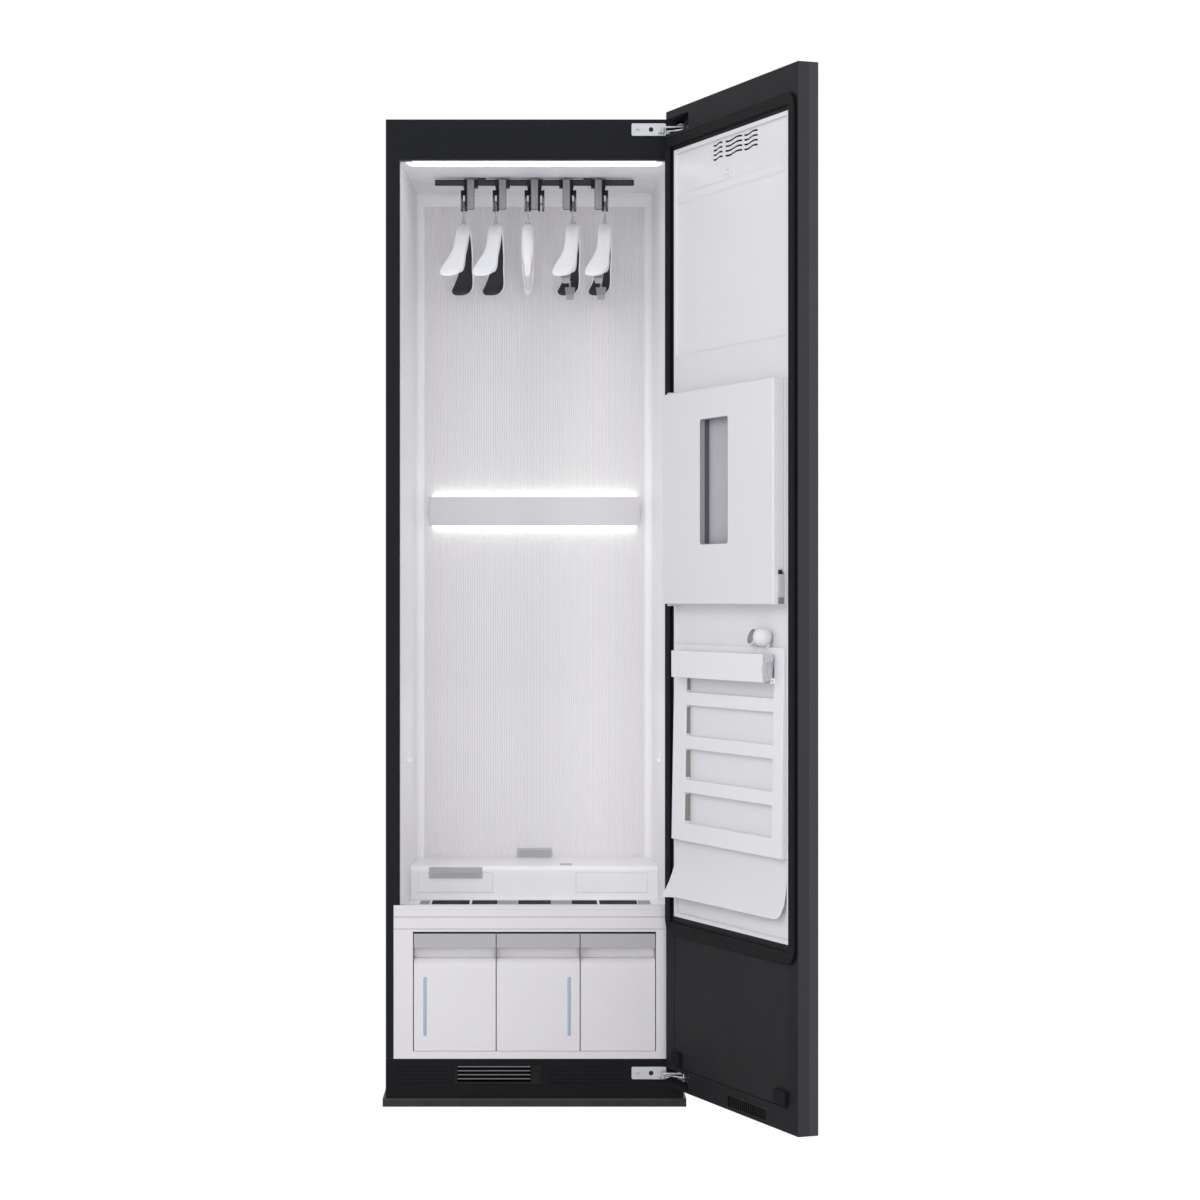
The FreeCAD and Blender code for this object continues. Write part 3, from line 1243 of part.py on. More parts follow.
def press_back_board():
    """Fixed board of the trouser press with its top band and the ears of the press plate."""
    board_x = LINER_X - LINER_RIM - 2 * CLEAR
    board = box((-board_x, board_x), (LINER_FACE, PRESS_SPLIT - CLEAR), PRESS_Z)
    band = box((-board_x, board_x), (LINER_FACE, LINER_FACE + 5), (PRESS_Z[1], PRESS_BAND_TOP))
    groove = box((-30, -26), (PRESS_SPLIT - 3, PRESS_SPLIT), (PRESS_Z[0] + 20, PRESS_Z[1] - 20))
    axis_x, axis_y = PRESS_AXIS
    shapes = [board, band]
    for z, pin in ((PRESS_Z[0] - 4, PRESS_Z[0]), (PRESS_Z[1], PRESS_Z[1] - 8)):
        low = z if z < PRESS_Z[0] else z + CLEAR
        high = low + 4 - (CLEAR if z < PRESS_Z[0] else 0)
        root_x = (axis_x - 8, board_x)
        shapes.append(box(root_x, (LINER_FACE, axis_y + 5), (low, high)))
        shapes.append(box(root_x, (LINER_FACE, PRESS_SPLIT - CLEAR), (low, high + 1)))
        shapes.append(box((board_x - 1, axis_x + 4), (DOOR_INNER + 1, axis_y + 5), (low, high)))
        shapes.append(cylinder(PRESS_PIN, (axis_x, axis_y, min(low, pin)), 12))
    return swing(cut(join(shapes), groove))


def press_plate():
    """Hinged press plate: a flat skin with a skirt and a rounded window."""
    block = box(PRESS_X, (PRESS_SPLIT, PRESS_FRONT), PRESS_Z)
    front = [e for e in block.Edges if e.BoundBox.YMin > PRESS_FRONT - 0.1]
    block = block.makeFillet(2.5, front)
    side = [e for e in block.Edges if e.BoundBox.XMin > PRESS_X[1] - 0.1]
    block = block.makeFillet(PRESS_BARREL, [e for e in side if e.BoundBox.YMax < PRESS_SPLIT + 0.1])
    room = box(
        (PRESS_X[0] + PRESS_SKIRT, PRESS_X[1] - PRESS_SKIRT),
        (PRESS_SPLIT - 1, PRESS_FRONT - PRESS_SKIN),
        (PRESS_Z[0] + PRESS_SKIRT, PRESS_Z[1] - PRESS_SKIRT),
    )
    window = upright_slab(PRESS_WINDOW_X, (PRESS_SPLIT - 1, PRESS_FRONT + 1), PRESS_WINDOW_Z, 6)
    axis_x, axis_y = PRESS_AXIS
    bores = [
        cylinder(PRESS_PIN + RUNNING, (axis_x, axis_y, z), 12.6)
        for z in (PRESS_Z[0] - 1, PRESS_Z[1] - 11.6)
    ]
    return swing(cut(block, room, window, *bores))


def press_latch():
    """Small lever on the free side of the press plate."""
    outline = [(-2, LATCH_Z[0]), (8, LATCH_Z[0]), (8, LATCH_Z[1]), (2, LATCH_Z[1]), (-2, LATCH_Z[1] - 12)]
    return swing(prism_x(outline, (LATCH_X - LATCH_WIDTH, LATCH_X)))


def rack_face(z):
    """Depth of the hem rack's front at a height; the rack leans out towards its foot."""
    share = (RACK_Z[1] - z) / (RACK_Z[1] - RACK_Z[0])
    return RACK_TOP_FACE + (RACK_BOTTOM_FACE - RACK_TOP_FACE) * share


def hem_rack():
    """Leaning rack with four windows and the ears of the hem clamp."""
    seat = LINER_FACE
    lower = [(seat, RACK_Z[0]), (RACK_BOTTOM_FACE, RACK_Z[0])]
    upper = [(RACK_TOP_FACE, RACK_Z[1]), (seat, RACK_Z[1])]
    panel = prism_x(lower + upper, RACK_X)
    windows = [
        upright_slab(RACK_WINDOW_X, (seat - 1, 5), (z, z + RACK_WINDOW_HEIGHT), 5)
        for z in (RACK_WINDOW_BOTTOM + RACK_WINDOW_PITCH * i for i in range(4))
    ]
    axis = (CLAMP_BACK + CLAMP_CORNER, CLAMP_Z[0] + CLAMP_CORNER)
    ears = []
    for x in (CLAMP_X[0] - CLEAR - 4, CLAMP_X[1] + CLEAR):
        ear = box((x, x + 4), (rack_face(axis[1]) - 3, axis[0] + 4), (axis[1] - 5, axis[1] + 5))
        ears.append(cut(ear, cylinder(2 + RUNNING, (x - 1, axis[0], axis[1]), 6, X_AXIS)))
    return swing(join([cut(panel, *windows)] + ears))


def hem_clamp():
    """Box-shaped clamp across the rack, turning on stub pins at its foot."""
    block = box(CLAMP_X, (CLAMP_BACK, CLAMP_FRONT), CLAMP_Z)
    lengthwise = [e for e in block.Edges if abs(e.tangentAt(e.FirstParameter).x) > 0.9]
    foot = [e for e in lengthwise if e.BoundBox.YMax < CLAMP_BACK + 1 and e.BoundBox.ZMax < CLAMP_Z[0] + 1]
    block = block.makeFillet(CLAMP_CORNER, foot)
    axis = (CLAMP_BACK + CLAMP_CORNER, CLAMP_Z[0] + CLAMP_CORNER)
    pins = [
        cylinder(2, (x, axis[0], axis[1]), 7, X_AXIS) for x in (CLAMP_X[0] - 4, CLAMP_X[1] - 3)
    ]
    start = CLAMP_X[0] - LEVER_WIDTH - CLEAR
    knuckle = cylinder(LEVER_PIN, (start, 6, CLAMP_Z[1] - 8), LEVER_WIDTH + CLEAR, X_AXIS)
    return swing(join([block, knuckle] + pins))


def hem_lever():
    """Bowed lever that turns on the clamp's free end."""
    x = (CLAMP_X[0] - LEVER_WIDTH - CLEAR, CLAMP_X[0] - CLEAR)
    y, z = (6, CLAMP_Z[1] - 8)

    def point(dy, height):
        return V(x[0], dy, height)

    boss = cylinder(8, (x[0], y, z), LEVER_WIDTH, X_AXIS)
    low = point(CLAMP_FRONT - 8, CLAMP_Z[0] + 2)
    inner_low = point(CLAMP_FRONT - 13, CLAMP_Z[0] + 4)
    edges = [
        Part.Arc(point(y + 7.5, z), point(CLAMP_FRONT + 2, z - 20), low).toShape(),
        Part.LineSegment(low, inner_low).toShape(),
        Part.Arc(inner_low, point(CLAMP_FRONT - 5, z - 20), point(y + 1, z)).toShape(),
        Part.LineSegment(point(y + 1, z), point(y + 7.5, z)).toShape(),
    ]
    arm = Part.Face(Part.Wire(edges)).extrude(V(LEVER_WIDTH, 0, 0))
    bore = cylinder(LEVER_PIN + RUNNING, (x[0] - 1, y, z), LEVER_WIDTH + 2, X_AXIS)
    return swing(cut(join([boss, arm]), bore))


def hem_knobs():
    """Ball rest and cupped rest above the hem clamp, each on a foot on the rack."""
    height = RACK_Z[1] + REST_HEIGHT
    ball_x = RACK_X[0] + BALL_INSET
    cup_x = ball_x + CUP_PITCH
    rim = 70.0
    ball = turned(bands(BALL_RADIUS, -rim, rim, 6), V(ball_x, LINER_FACE + BALL_RADIUS, height))
    inner_radius = CUP_RADIUS - CUP_WALL
    centre = V(cup_x, LINER_FACE + CUP_RADIUS, height)
    inner = bands(inner_radius, -rim, 10, 4)
    mouth = [(inner_radius, CUP_RADIUS / 2)]
    cup = cut(turned(bands(CUP_RADIUS, -rim, 10, 4), centre), turned(inner + mouth, centre))
    cup.rotate(centre, X_AXIS, -CUP_TILT)
    shapes = []
    for x, rest in ((ball_x, ball), (cup_x, cup)):
        foot_y = (RACK_TOP_FACE - 7, RACK_TOP_FACE - 1)
        foot = box((x - 3.5, x + 3.5), foot_y, (RACK_Z[1], RACK_Z[1] + 10))
        shapes.append(join([rest, foot]))
    return swing(Part.makeCompound(shapes))


def drip_flap():
    """Thin flexible sheet below the rack, curling away from the door on one arc."""
    top = RACK_Z[0]
    back = LINER_FACE + 0.5
    drop = top - FLAP_TIP[1]
    flare = FLAP_TIP[0] - back
    radius = (drop**2 + flare**2) / (2 * flare)
    turn = math.asin(drop / radius)

    def point(share, reach):
        angle = turn * share
        return V(RACK_X[0], back + radius - reach * math.cos(angle), top - reach * math.sin(angle))

    inner = radius - FLAP_THICKNESS
    edges = [
        Part.Arc(point(0, radius), point(0.5, radius), point(1, radius)).toShape(),
        Part.LineSegment(point(1, radius), point(1, inner)).toShape(),
        Part.Arc(point(1, inner), point(0.5, inner), point(0, inner)).toShape(),
        Part.LineSegment(point(0, inner), point(0, radius)).toShape(),
    ]
    sheet = Part.Face(Part.Wire(edges)).extrude(V(RACK_X[1] - RACK_X[0], 0, 0))
    return swing(sheet)


def build():
    """Every sub-part by name."""
    spans = tank_spans()
    parts = {
        "base_plate": base_plate(),
        "levelling_feet": levelling_feet(),
        "side_panels": side_panels(),
        "top_panel": top_panel(),
        "back_panel": back_panel(),
        "front_frame": front_frame(),
        "kick_panel": kick_panel(),
        "intake_grille": intake_grille(),
        "lower_frame": lower_frame(),
        "liner_sides": liner_sides(),
        "liner_ceiling": liner_ceiling(),
        "liner_back": liner_back(),
        "chamber_floor": chamber_floor(),
        "steam_housing": steam_housing(),
        "vent_plates": vent_plates(),
        "light_bar": light_bar(),
        "ceiling_light": ceiling_light(),
        "shelf_clips": shelf_clips(),
        "hanger_rail": hanger_rail(),
        "hanger_holders": hanger_holders(),
        "shaker_crank": shaker_crank(),
        "shaker_motor": shaker_motor(),
        "compressor": compressor(),
        "heat_exchangers": heat_exchangers(),
        "blower_housing": blower_housing(),
        "blower_wheel": blower_wheel(),
        "steam_generator": steam_generator(),
        "pumps": pumps(),
        "control_box": control_box(),
        "hinge_plates": hinge_plates(),
        "hinge_link_a": hinge_link("a"),
        "hinge_link_b": hinge_link("b"),
        "door_hinge_brackets": door_hinge_brackets(),
        "door_front_panel": door_front_panel(),
        "door_edge_frame": door_edge_frame(),
        "door_grille": door_grille(),
        "door_lower_panel": door_lower_panel(),
        "door_bumpers": door_bumpers(),
        "door_liner": door_liner(),
        "door_gasket": door_gasket(),
        "garment_hook": garment_hook(),
        "press_back_board": press_back_board(),
        "press_plate": press_plate(),
        "press_latch": press_latch(),
        "hem_rack": hem_rack(),
        "hem_clamp": hem_clamp(),
        "hem_lever": hem_lever(),
        "hem_knobs": hem_knobs(),
        "drip_flap": drip_flap(),
    }
    for name, span in zip(("water_tank", "drain_tank", "lint_drawer"), spans):
        parts[name] = container(span)
        parts[name + "_lid"] = container_lid(span)
    for number, (hook_x, tab, side) in enumerate(hanger_places(), start=1):
        plain = tab == 0
        parts[f"hanger_{number}"] = hanger(
            hook_x,
            bow=0.0 if plain else SHELL_BOW,
            yaw=0.0 if plain else SHELL_YAW,
            widths=PLAIN_WIDTHS if plain else (HANGER_WIDTH, TIP_WIDTH),
            with_clips=side > 0,
        )
    return parts


def main():
    """Write one STEP file for each sub-part."""
    os.makedirs("parts", exist_ok=True)
    for name, shape in build().items():
        shape.exportStep(f"parts/{name}.step")


main()
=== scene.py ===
import logging
import math
from collections.abc import Sequence
from dataclasses import dataclass, field
from enum import Enum

import bmesh
import bpy
import numpy as np
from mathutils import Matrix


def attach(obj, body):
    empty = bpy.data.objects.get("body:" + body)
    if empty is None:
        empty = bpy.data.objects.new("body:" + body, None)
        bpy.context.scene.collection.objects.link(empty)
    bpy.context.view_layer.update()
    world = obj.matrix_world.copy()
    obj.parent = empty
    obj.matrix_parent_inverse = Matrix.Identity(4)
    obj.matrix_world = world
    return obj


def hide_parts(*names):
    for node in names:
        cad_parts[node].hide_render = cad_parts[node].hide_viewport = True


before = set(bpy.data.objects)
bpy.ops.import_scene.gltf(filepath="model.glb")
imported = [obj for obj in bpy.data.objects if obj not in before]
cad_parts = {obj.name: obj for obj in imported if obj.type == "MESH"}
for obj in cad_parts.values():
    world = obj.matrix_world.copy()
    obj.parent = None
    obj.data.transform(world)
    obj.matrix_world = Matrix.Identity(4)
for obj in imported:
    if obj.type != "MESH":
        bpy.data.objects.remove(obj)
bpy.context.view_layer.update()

log = logging.getLogger("steam_cabinet")

MM = 0.001
VECTOR, COLOUR, NUMBER = "NodeSocketVector", "NodeSocketColor", "NodeSocketFloat"
DOOR_PIVOT = np.array([285.0, -28.4, 0.0])
DOOR_TURN = math.radians(111.0)
FREE_END = (-math.cos(DOOR_TURN), -math.sin(DOOR_TURN), 0.0)
"""Direction from the pivot to the open door's free end."""
CORNER_POINTS, EDGE_POINTS = 7, 4
"""Points round the corner of a plate's outline, and over its rounded edge."""
BEVEL_FROM = 30.0
"""Angle in degrees from which an edge is rounded."""
FACES_IT = 0.85
"""Least cosine between a face's normal and a direction that it faces."""
GRAIN_DEPTH = 0.0004
"""Height of the strongest grain, in metres."""
COAT_ROUGHNESS = 0.12
SCATTER = 0.25
"""Share of light that scatters inside soft white plastic."""
DUST_TONE = "#8d8780"

Triple = tuple[float, float, float]
Pair = tuple[float, float]
Input = float | Sequence[float] | bpy.types.Node | bpy.types.NodeSocket


class Body(Enum):
    """Bodies of the frame that pieces ride on, apart from the five hangers."""

    CABINET = "cabinet"
    DOOR = "door"
    LINK_A = "link_a"
    LINK_B = "link_b"
    RAIL = "rail"
    WATER_TANK = "water_tank"
    DRAIN_TANK = "drain_tank"
    LINT_DRAWER = "lint_drawer"
    PRESS = "press"
    LATCH = "latch"
    CLAMP = "clamp"
    LEVER = "lever"
    INTAKE = "intake"


class Slot(Enum):
    """Material slots of the record."""

    CASE = "case_paint"
    ZINC = "zinc_sheet"
    DARK = "dark_plastic"
    PLINTH = "plinth_plastic"
    WHITE = "white_plastic"
    LINER = "liner_white"
    GREY = "grey_plastic"
    LAMP = "lamp_white"
    RAIL = "rail_metal"
    HOLDER = "holder_grey"
    HANGER = "hanger_white"
    HINGE = "hinge_steel"
    COMPRESSOR = "compressor_paint"
    COIL = "coil_aluminium"
    MACHINE = "machine_plastic"
    BOILER = "boiler_steel"
    BUMPER = "bumper_rubber"
    GASKET = "gasket_rubber"
    PRESS = "press_white"
    FLAP = "flap_rubber"
    TANK = "tank_plastic"
    BAND = "band_grey"


class Effect(Enum):
    """Shared node groups, by the name of the group."""

    TONE = "tone_drift"
    GRAIN = "moulded_grain"
    SHEEN = "handling_sheen"
    BRUSHED = "brushed_lines"
    DUST = "settled_dust"


# ---- effects and finishes ----


def linear(tone: str) -> tuple[float, float, float, float]:
    """Turn a written colour into the shader's linear one.

    Each channel c follows ((c + 0.055) / 1.055) ** 2.4, or c / 12.92 when it is very dark.

    Args:
        tone: colour as "#rrggbb".

    Returns:
        Red, green, blue and full opacity.
    """
    channels = [int(tone[i : i + 2], 16) / 255 for i in (1, 3, 5)]
    values = [c / 12.92 if c <= 0.04045 else ((c + 0.055) / 1.055) ** 2.4 for c in channels]
    return values[0], values[1], values[2], 1.0


class Wiring:
    """Adds linked nodes to one node tree."""

    def __init__(self, tree: bpy.types.NodeTree) -> None:
        """Take the tree to write in."""
        self.tree = tree

    def fill(self, node: bpy.types.Node, inputs: dict[str | int, Input]) -> bpy.types.Node:
        """Link or set a node's inputs.

        Args:
            node: the node.
            inputs: by name or number, a socket, a node for its first output, or a plain value.

        Returns:
            The same node.
        """
        for key, value in inputs.items():
            source = value.outputs[0] if isinstance(value, bpy.types.Node) else value
            if isinstance(source, bpy.types.NodeSocket):
                self.tree.links.new(source, node.inputs[key])
            else:
                node.inputs[key].default_value = source
        return node

    def node(self, kind: str, inputs: dict[str | int, Input], **options: object) -> bpy.types.Node:
        """Add a node.

        Args:
            kind: its type, without "ShaderNode".
            inputs: what goes into it, as in fill.
            options: its other settings.

        Returns:
            The node.
        """
        made = self.tree.nodes.new(f"ShaderNode{kind}")
        for key, value in options.items():
            setattr(made, key, value)
        return self.fill(made, inputs)

    def maths(self, operation: str, *values: Input, clamp: bool = False) -> bpy.types.Node:
        """Add a calculation on up to three values."""
        return self.node("Math", dict(enumerate(values)), operation=operation, use_clamp=clamp)

    def effect(self, effect: Effect, **inputs: Input) -> bpy.types.Node:
        """Put a shared group into a material with its own values."""
        return self.node("Group", inputs, node_tree=GROUPS[effect])


class Group(Wiring):
    """Writes one shared node group."""

    def __init__(self, effect: Effect, **inputs: str | float) -> None:
        """Open an empty group.

        Args:
            effect: which one.
            inputs: kind of each input's socket, or the usual value of a number.
        """
        super().__init__(bpy.data.node_groups.new(effect.value, "ShaderNodeTree"))
        for name, kind in inputs.items():
            usual = isinstance(kind, float)
            made = self.tree.interface.new_socket(name=name, in_out="INPUT", socket_type=NUMBER if usual else kind)
            if usual:
                made.default_value = kind
        self.take = self.tree.nodes.new("NodeGroupInput").outputs

    def give(self, name: str, kind: str, source: Input) -> bpy.types.NodeTree:
        """Close the group with its one output.

        Args:
            name: name of the output.
            kind: kind of its socket.
            source: what goes out.

        Returns:
            The group.
        """
        self.tree.interface.new_socket(name=name, in_out="OUTPUT", socket_type=kind)
        self.fill(self.tree.nodes.new("NodeGroupOutput"), {name: source})
        return self.tree

    def noise(self, scale: Input, detail: float, roughness: float = 0.5, twist: float = 0.0) -> bpy.types.Node:
        """Add a noise over the group's own Vector."""
        inputs = {"Vector": self.take["Vector"], "Scale": scale, "Detail": detail}
        return self.node("TexNoise", inputs | {"Roughness": roughness, "Distortion": twist})


def tone_drift() -> bpy.types.NodeTree:
    """Colour that drifts a little over a large surface and is finely speckled.

    Its value is multiplied by 1 + 2 spread (wide noise + 0.35 fine noise - 0.675).

    Returns:
        The group.
    """
    desk = Group(Effect.TONE, Vector=VECTOR, Tone=COLOUR, Spread=0.03, Scale=5.0)
    wide, fine = desk.noise(desk.take["Scale"], 3.0, 0.55), desk.noise(1400.0, 1.0)
    centred = desk.maths("SUBTRACT", desk.maths("MULTIPLY_ADD", fine, 0.35, wide), 0.675)
    value = desk.maths("MULTIPLY_ADD", centred, desk.maths("MULTIPLY", desk.take["Spread"], 2.0), 1.0)
    return desk.give("Color", COLOUR, desk.node("HueSaturation", {"Value": value, "Color": desk.take["Tone"]}))


def moulded_grain() -> bpy.types.NodeTree:
    """Height of a spark-eroded or powder-coated skin: pebbles blended with a noise 1.9 times as fine.

    Returns:
        The group.
    """
    desk = Group(Effect.GRAIN, Vector=VECTOR, Scale=900.0, Pebble=0.5)
    place = {"Vector": desk.take["Vector"], "Scale": desk.take["Scale"]}
    cells = desk.node("TexVoronoi", place, feature="SMOOTH_F1")
    noise = desk.noise(desk.maths("MULTIPLY", desk.take["Scale"], 1.9), 3.0)
    blend = desk.node("Mix", {0: desk.take["Pebble"], 2: noise, 3: cells.outputs["Distance"]}, data_type="FLOAT")
    return desk.give("Height", NUMBER, blend)


def handling_sheen() -> bpy.types.NodeTree:
    """Roughness that changes in soft patches where a surface is wiped and touched.

    It is roughness + 2 spread (noise - 0.5).

    Returns:
        The group.
    """
    desk = Group(Effect.SHEEN, Vector=VECTOR, Roughness=0.4, Spread=0.06, Scale=9.0)
    centred = desk.maths("SUBTRACT", desk.noise(desk.take["Scale"], 4.0, 0.6, 0.6), 0.5)
    double = desk.maths("MULTIPLY", centred, 2.0)
    result = desk.maths("MULTIPLY_ADD", double, desk.take["Spread"], desk.take["Roughness"], clamp=True)
    return desk.give("Roughness", NUMBER, result)


def brushed_lines() -> bpy.types.NodeTree:
    """Height of fine drawn lines: noise pulled out along one direction.

    Returns:
        The group.
    """
    desk = Group(Effect.BRUSHED, Vector=VECTOR, Stretch=VECTOR)
    pull = desk.node("Mapping", {"Vector": desk.take["Vector"], "Scale": desk.take["Stretch"]})
    return desk.give("Height", NUMBER, desk.node("TexNoise", {"Vector": pull, "Scale": 1.0, "Detail": 2.0}))


def settled_dust() -> bpy.types.NodeTree:
    """Colour greyed by dust and scuffs, by amount times noise, fading from the floor up to the level.

    Returns:
        The group.
    """
    desk = Group(Effect.DUST, Vector=VECTOR, Tone=COLOUR, Amount=0.1, Level=0.12)
    height = desk.node("SeparateXYZ", {0: desk.take["Vector"]}).outputs["Z"]
    fade = desk.node("MapRange", {"Value": height, "From Max": desk.take["Level"], "To Min": 1.0, "To Max": 0.0})
    mask = desk.maths("MULTIPLY", fade, desk.noise(38.0, 6.0, 0.7))
    amount = desk.maths("MULTIPLY", mask, desk.take["Amount"], clamp=True)
    blend = desk.node("Mix", {0: amount, 6: desk.take["Tone"], 7: linear(DUST_TONE)}, data_type="RGBA")
    return desk.give("Color", COLOUR, blend.outputs[2])


GROUPS = {
    Effect.TONE: tone_drift(),
    Effect.GRAIN: moulded_grain(),
    Effect.SHEEN: handling_sheen(),
    Effect.BRUSHED: brushed_lines(),
    Effect.DUST: settled_dust(),
}


@dataclass(frozen=True)
class Finish:
    """One finish: its colour, gloss, surface texture and the record's slot that it belongs to.

    Attributes:
        name: name of the material.
        slot: the record's slot; not used by this script.
        tone: main colour.
        roughness: mean roughness.
        metallic: 1 for bare metal.
        specular: strength of the plain reflection.
        spread: how far the colour drifts.
        wipe: how far the roughness drifts.
        grain: strength of the moulded grain.
        pitch: grains to a metre.
        pebble: share of rounded pebbles in the grain.
        stretch: pull of brushed lines in each direction, or none.
        coat: weight of a clear coat.
        dust: amount of dust near the floor.
        glow: strength of its own light.
        clear: share of light that passes through.
        bury: depth of light scatter, for soft white plastic.
    """

    name: str
    slot: Slot
    tone: str
    roughness: float = 0.45
    metallic: float = 0.0
    specular: float = 0.5
    spread: float = 0.03
    wipe: float = 0.06
    grain: float = 0.12
    pitch: float = 900.0
    pebble: float = 0.5
    stretch: Triple | None = None
    coat: float = 0.0
    dust: float = 0.0
    glow: float = 0.0
    clear: float = 0.0
    bury: float = 0.0

    def material(self) -> bpy.types.Material:
        """Make the material, or hand out the one made before.

        Returns:
            The node material.
        """
        known = bpy.data.materials.get(self.name)
        if known:
            return known
        made = bpy.data.materials.new(self.name)
        made.use_nodes = True
        made.diffuse_color = linear(self.tone)
        desk = Wiring(made.node_tree)
        place = desk.node("TexCoord", {}).outputs["Object"]
        colour = desk.effect(Effect.TONE, Vector=place, Tone=linear(self.tone), Spread=self.spread)
        if self.dust:
            colour = desk.effect(Effect.DUST, Vector=place, Tone=colour, Amount=self.dust)
        if self.stretch:
            height = desk.effect(Effect.BRUSHED, Vector=place, Stretch=self.stretch)
        else:
            height = desk.effect(Effect.GRAIN, Vector=place, Scale=self.pitch, Pebble=self.pebble)
        inputs = {
            "Base Color": colour,
            "Metallic": self.metallic,
            "Roughness": desk.effect(Effect.SHEEN, Vector=place, Roughness=self.roughness, Spread=self.wipe),
            "Specular IOR Level": self.specular,
            "IOR": 1.5,
            "Coat Weight": self.coat,
            "Coat Roughness": COAT_ROUGHNESS,
            "Transmission Weight": self.clear,
            "Normal": desk.node("Bump", {"Strength": self.grain, "Distance": GRAIN_DEPTH, "Height": height}),
        }
        if self.bury:
            inputs |= {"Subsurface Weight": SCATTER, "Subsurface Scale": self.bury}
        if self.glow:
            inputs |= {"Emission Strength": self.glow, "Emission Color": colour}
        desk.fill(desk.tree.nodes["Principled BSDF"], inputs)
        return made


POWDER = {"specular": 0.14, "spread": 0.05, "grain": 0.3, "pitch": 1500}
SATIN = {"spread": 0.012, "grain": 0.05}
DIFFUSER = {"spread": 0.0, "grain": 0.04}

CASE_PAINT = Finish("powder_coat_graphite", Slot.CASE, "#17181c", 0.5, dust=0.05, **POWDER)
# A lighter, glossier copy of the graphite paint that paints the highlight on rounded edges.
CASE_EDGE_HIGHLIGHT = Finish("graphite_edge_painted_highlight", Slot.CASE, "#34353a", 0.38, specular=0.4, spread=0.1, grain=0.1)
DOOR_EDGE = Finish("door_side_bronze_grey", Slot.CASE, "#3a383d", 0.42, specular=0.25, spread=0.04, grain=0.2)
DOOR_RETURN = Finish("door_return_bronze_grey", Slot.CASE, "#2f2d32", specular=0.22, spread=0.04, grain=0.2)
KICK_PAINT = Finish("kick_panel_black", Slot.CASE, "#131316", 0.5, **POWDER)
INNER_DARK = Finish("inner_frame_black", Slot.DARK, "#17171b", 0.58, specular=0.14, grain=0.35, pitch=1100)
PANEL_DARK = Finish("lower_panel_black", Slot.DARK, "#1f1f21", 0.62, specular=0.14, grain=0.4, pitch=800)
GRILLE_DARK = Finish("grille_black", Slot.DARK, "#0e0e10", 0.5, specular=0.2, grain=0.2, dust=0.06)
# Light grey that paints the highlight on the grille slats' front edges, with dust near the floor.
SLAT_HIGHLIGHT = Finish("grille_slat_painted_highlight", Slot.DARK, "#77777b", 0.42, specular=0.3, grain=0.2, dust=0.1)
# Black that paints the shade in the floor's air slots.
SLOT_SHADE_BLACK = Finish("slot_shade_black", Slot.DARK, "#0b0b0c", 0.65, specular=0.08, grain=0.2)
PLINTH = Finish("plinth_umber", Slot.PLINTH, "#1f1d1c", 0.48, specular=0.2, grain=0.3, pitch=1000, dust=0.18, wipe=0.1)
ZINC = Finish("galvanised_sheet", Slot.ZINC, "#9a9da0", 0.42, 0.85, spread=0.12, wipe=0.14, pebble=0.9, pitch=70)
LINER_WHITE = Finish("liner_polystyrene", Slot.LINER, "#efeef0", 0.52, **SATIN)
BACK_WHITE = Finish("ribbed_back_lining", Slot.LINER, "#dfddde", 0.46, spread=0.02, grain=0.08)
HOUSING_WHITE = Finish("housing_white", Slot.LINER, "#f1f0f2", 0.34, **SATIN)
DOOR_LINER = Finish("door_liner_white", Slot.LINER, "#d9d8da", 0.36, **SATIN)
WHITE_PLASTIC = Finish("white_moulding", Slot.WHITE, "#d7d3d6", 0.34, spread=0.012, grain=0.06)
CLIP_WHITE = Finish("shelf_clip_white", Slot.LINER, "#f2f1f3", 0.3, spread=0.01, grain=0.05)
GREY_PLATE = Finish("vent_grey", Slot.GREY, "#b4b3b8", 0.42)
LAMP_STRIP = Finish("lamp_diffuser", Slot.LAMP, "#fdfdff", 0.5, glow=3.5, **DIFFUSER)
LAMP_TAIL = Finish("lamp_end_diffuser", Slot.LAMP, "#f4f4f6", 0.5, glow=0.7, **DIFFUSER)
BAR_FACE = Finish("light_bar_face", Slot.WHITE, "#d0ced2", 0.42, **SATIN)
BAR_GLOW = Finish("light_bar_glow", Slot.LAMP, "#ffffff", 0.5, glow=2.8, **DIFFUSER)
RAIL_METAL = Finish("brushed_rail", Slot.RAIL, "#403c3f", 0.4, 0.8, spread=0.08, grain=0.35, stretch=(3, 2600, 2600))
HOLDER_GREY = Finish("holder_satin", Slot.HOLDER, "#8c8b90", 0.42, 0.2, spread=0.05, grain=0.1)
HOLDER_EDGE = Finish("holder_dark_edge", Slot.HOLDER, "#3e3d42", spread=0.05)
HOLDER_BLACK = Finish("holder_clip_black", Slot.DARK, "#121213", 0.5, specular=0.3)
HOOK_STEEL = Finish("hook_wire", Slot.HINGE, "#a9acb1", 0.28, 1.0, spread=0.06, grain=0.25, stretch=(1800, 1800, 12))
HANGER_WHITE = Finish("hanger_shell_white", Slot.HANGER, "#e4e5e8", 0.3, spread=0.01, grain=0.05, bury=0.003)
HANGER_DARK = Finish("hanger_underside", Slot.DARK, "#333336", 0.5, specular=0.2, grain=0.2)
HANGER_CONE = Finish("hanger_collar_clear", Slot.HANGER, "#c9ccd2", 0.22, clear=0.55, spread=0.01, grain=0.03)
CLIP_GREY = Finish("clip_grip_grey", Slot.HOLDER, "#a3a4a8", 0.35, 0.5, spread=0.06, grain=0.15)
HINGE_STEEL = Finish(
    "plated_hinge", Slot.HINGE, "#d2d5d9", 0.3, 0.95, spread=0.08, wipe=0.12, grain=0.3, stretch=(12, 900, 1500)
)
SCREW_DARK = Finish("screw_black_oxide", Slot.HINGE, "#3a3b3e", 0.35, 0.9, spread=0.1)
BUMPER = Finish("bumper_moulding", Slot.BUMPER, "#16161c", 0.75, specular=0.12, wipe=0.0, grain=0.3, pitch=700)
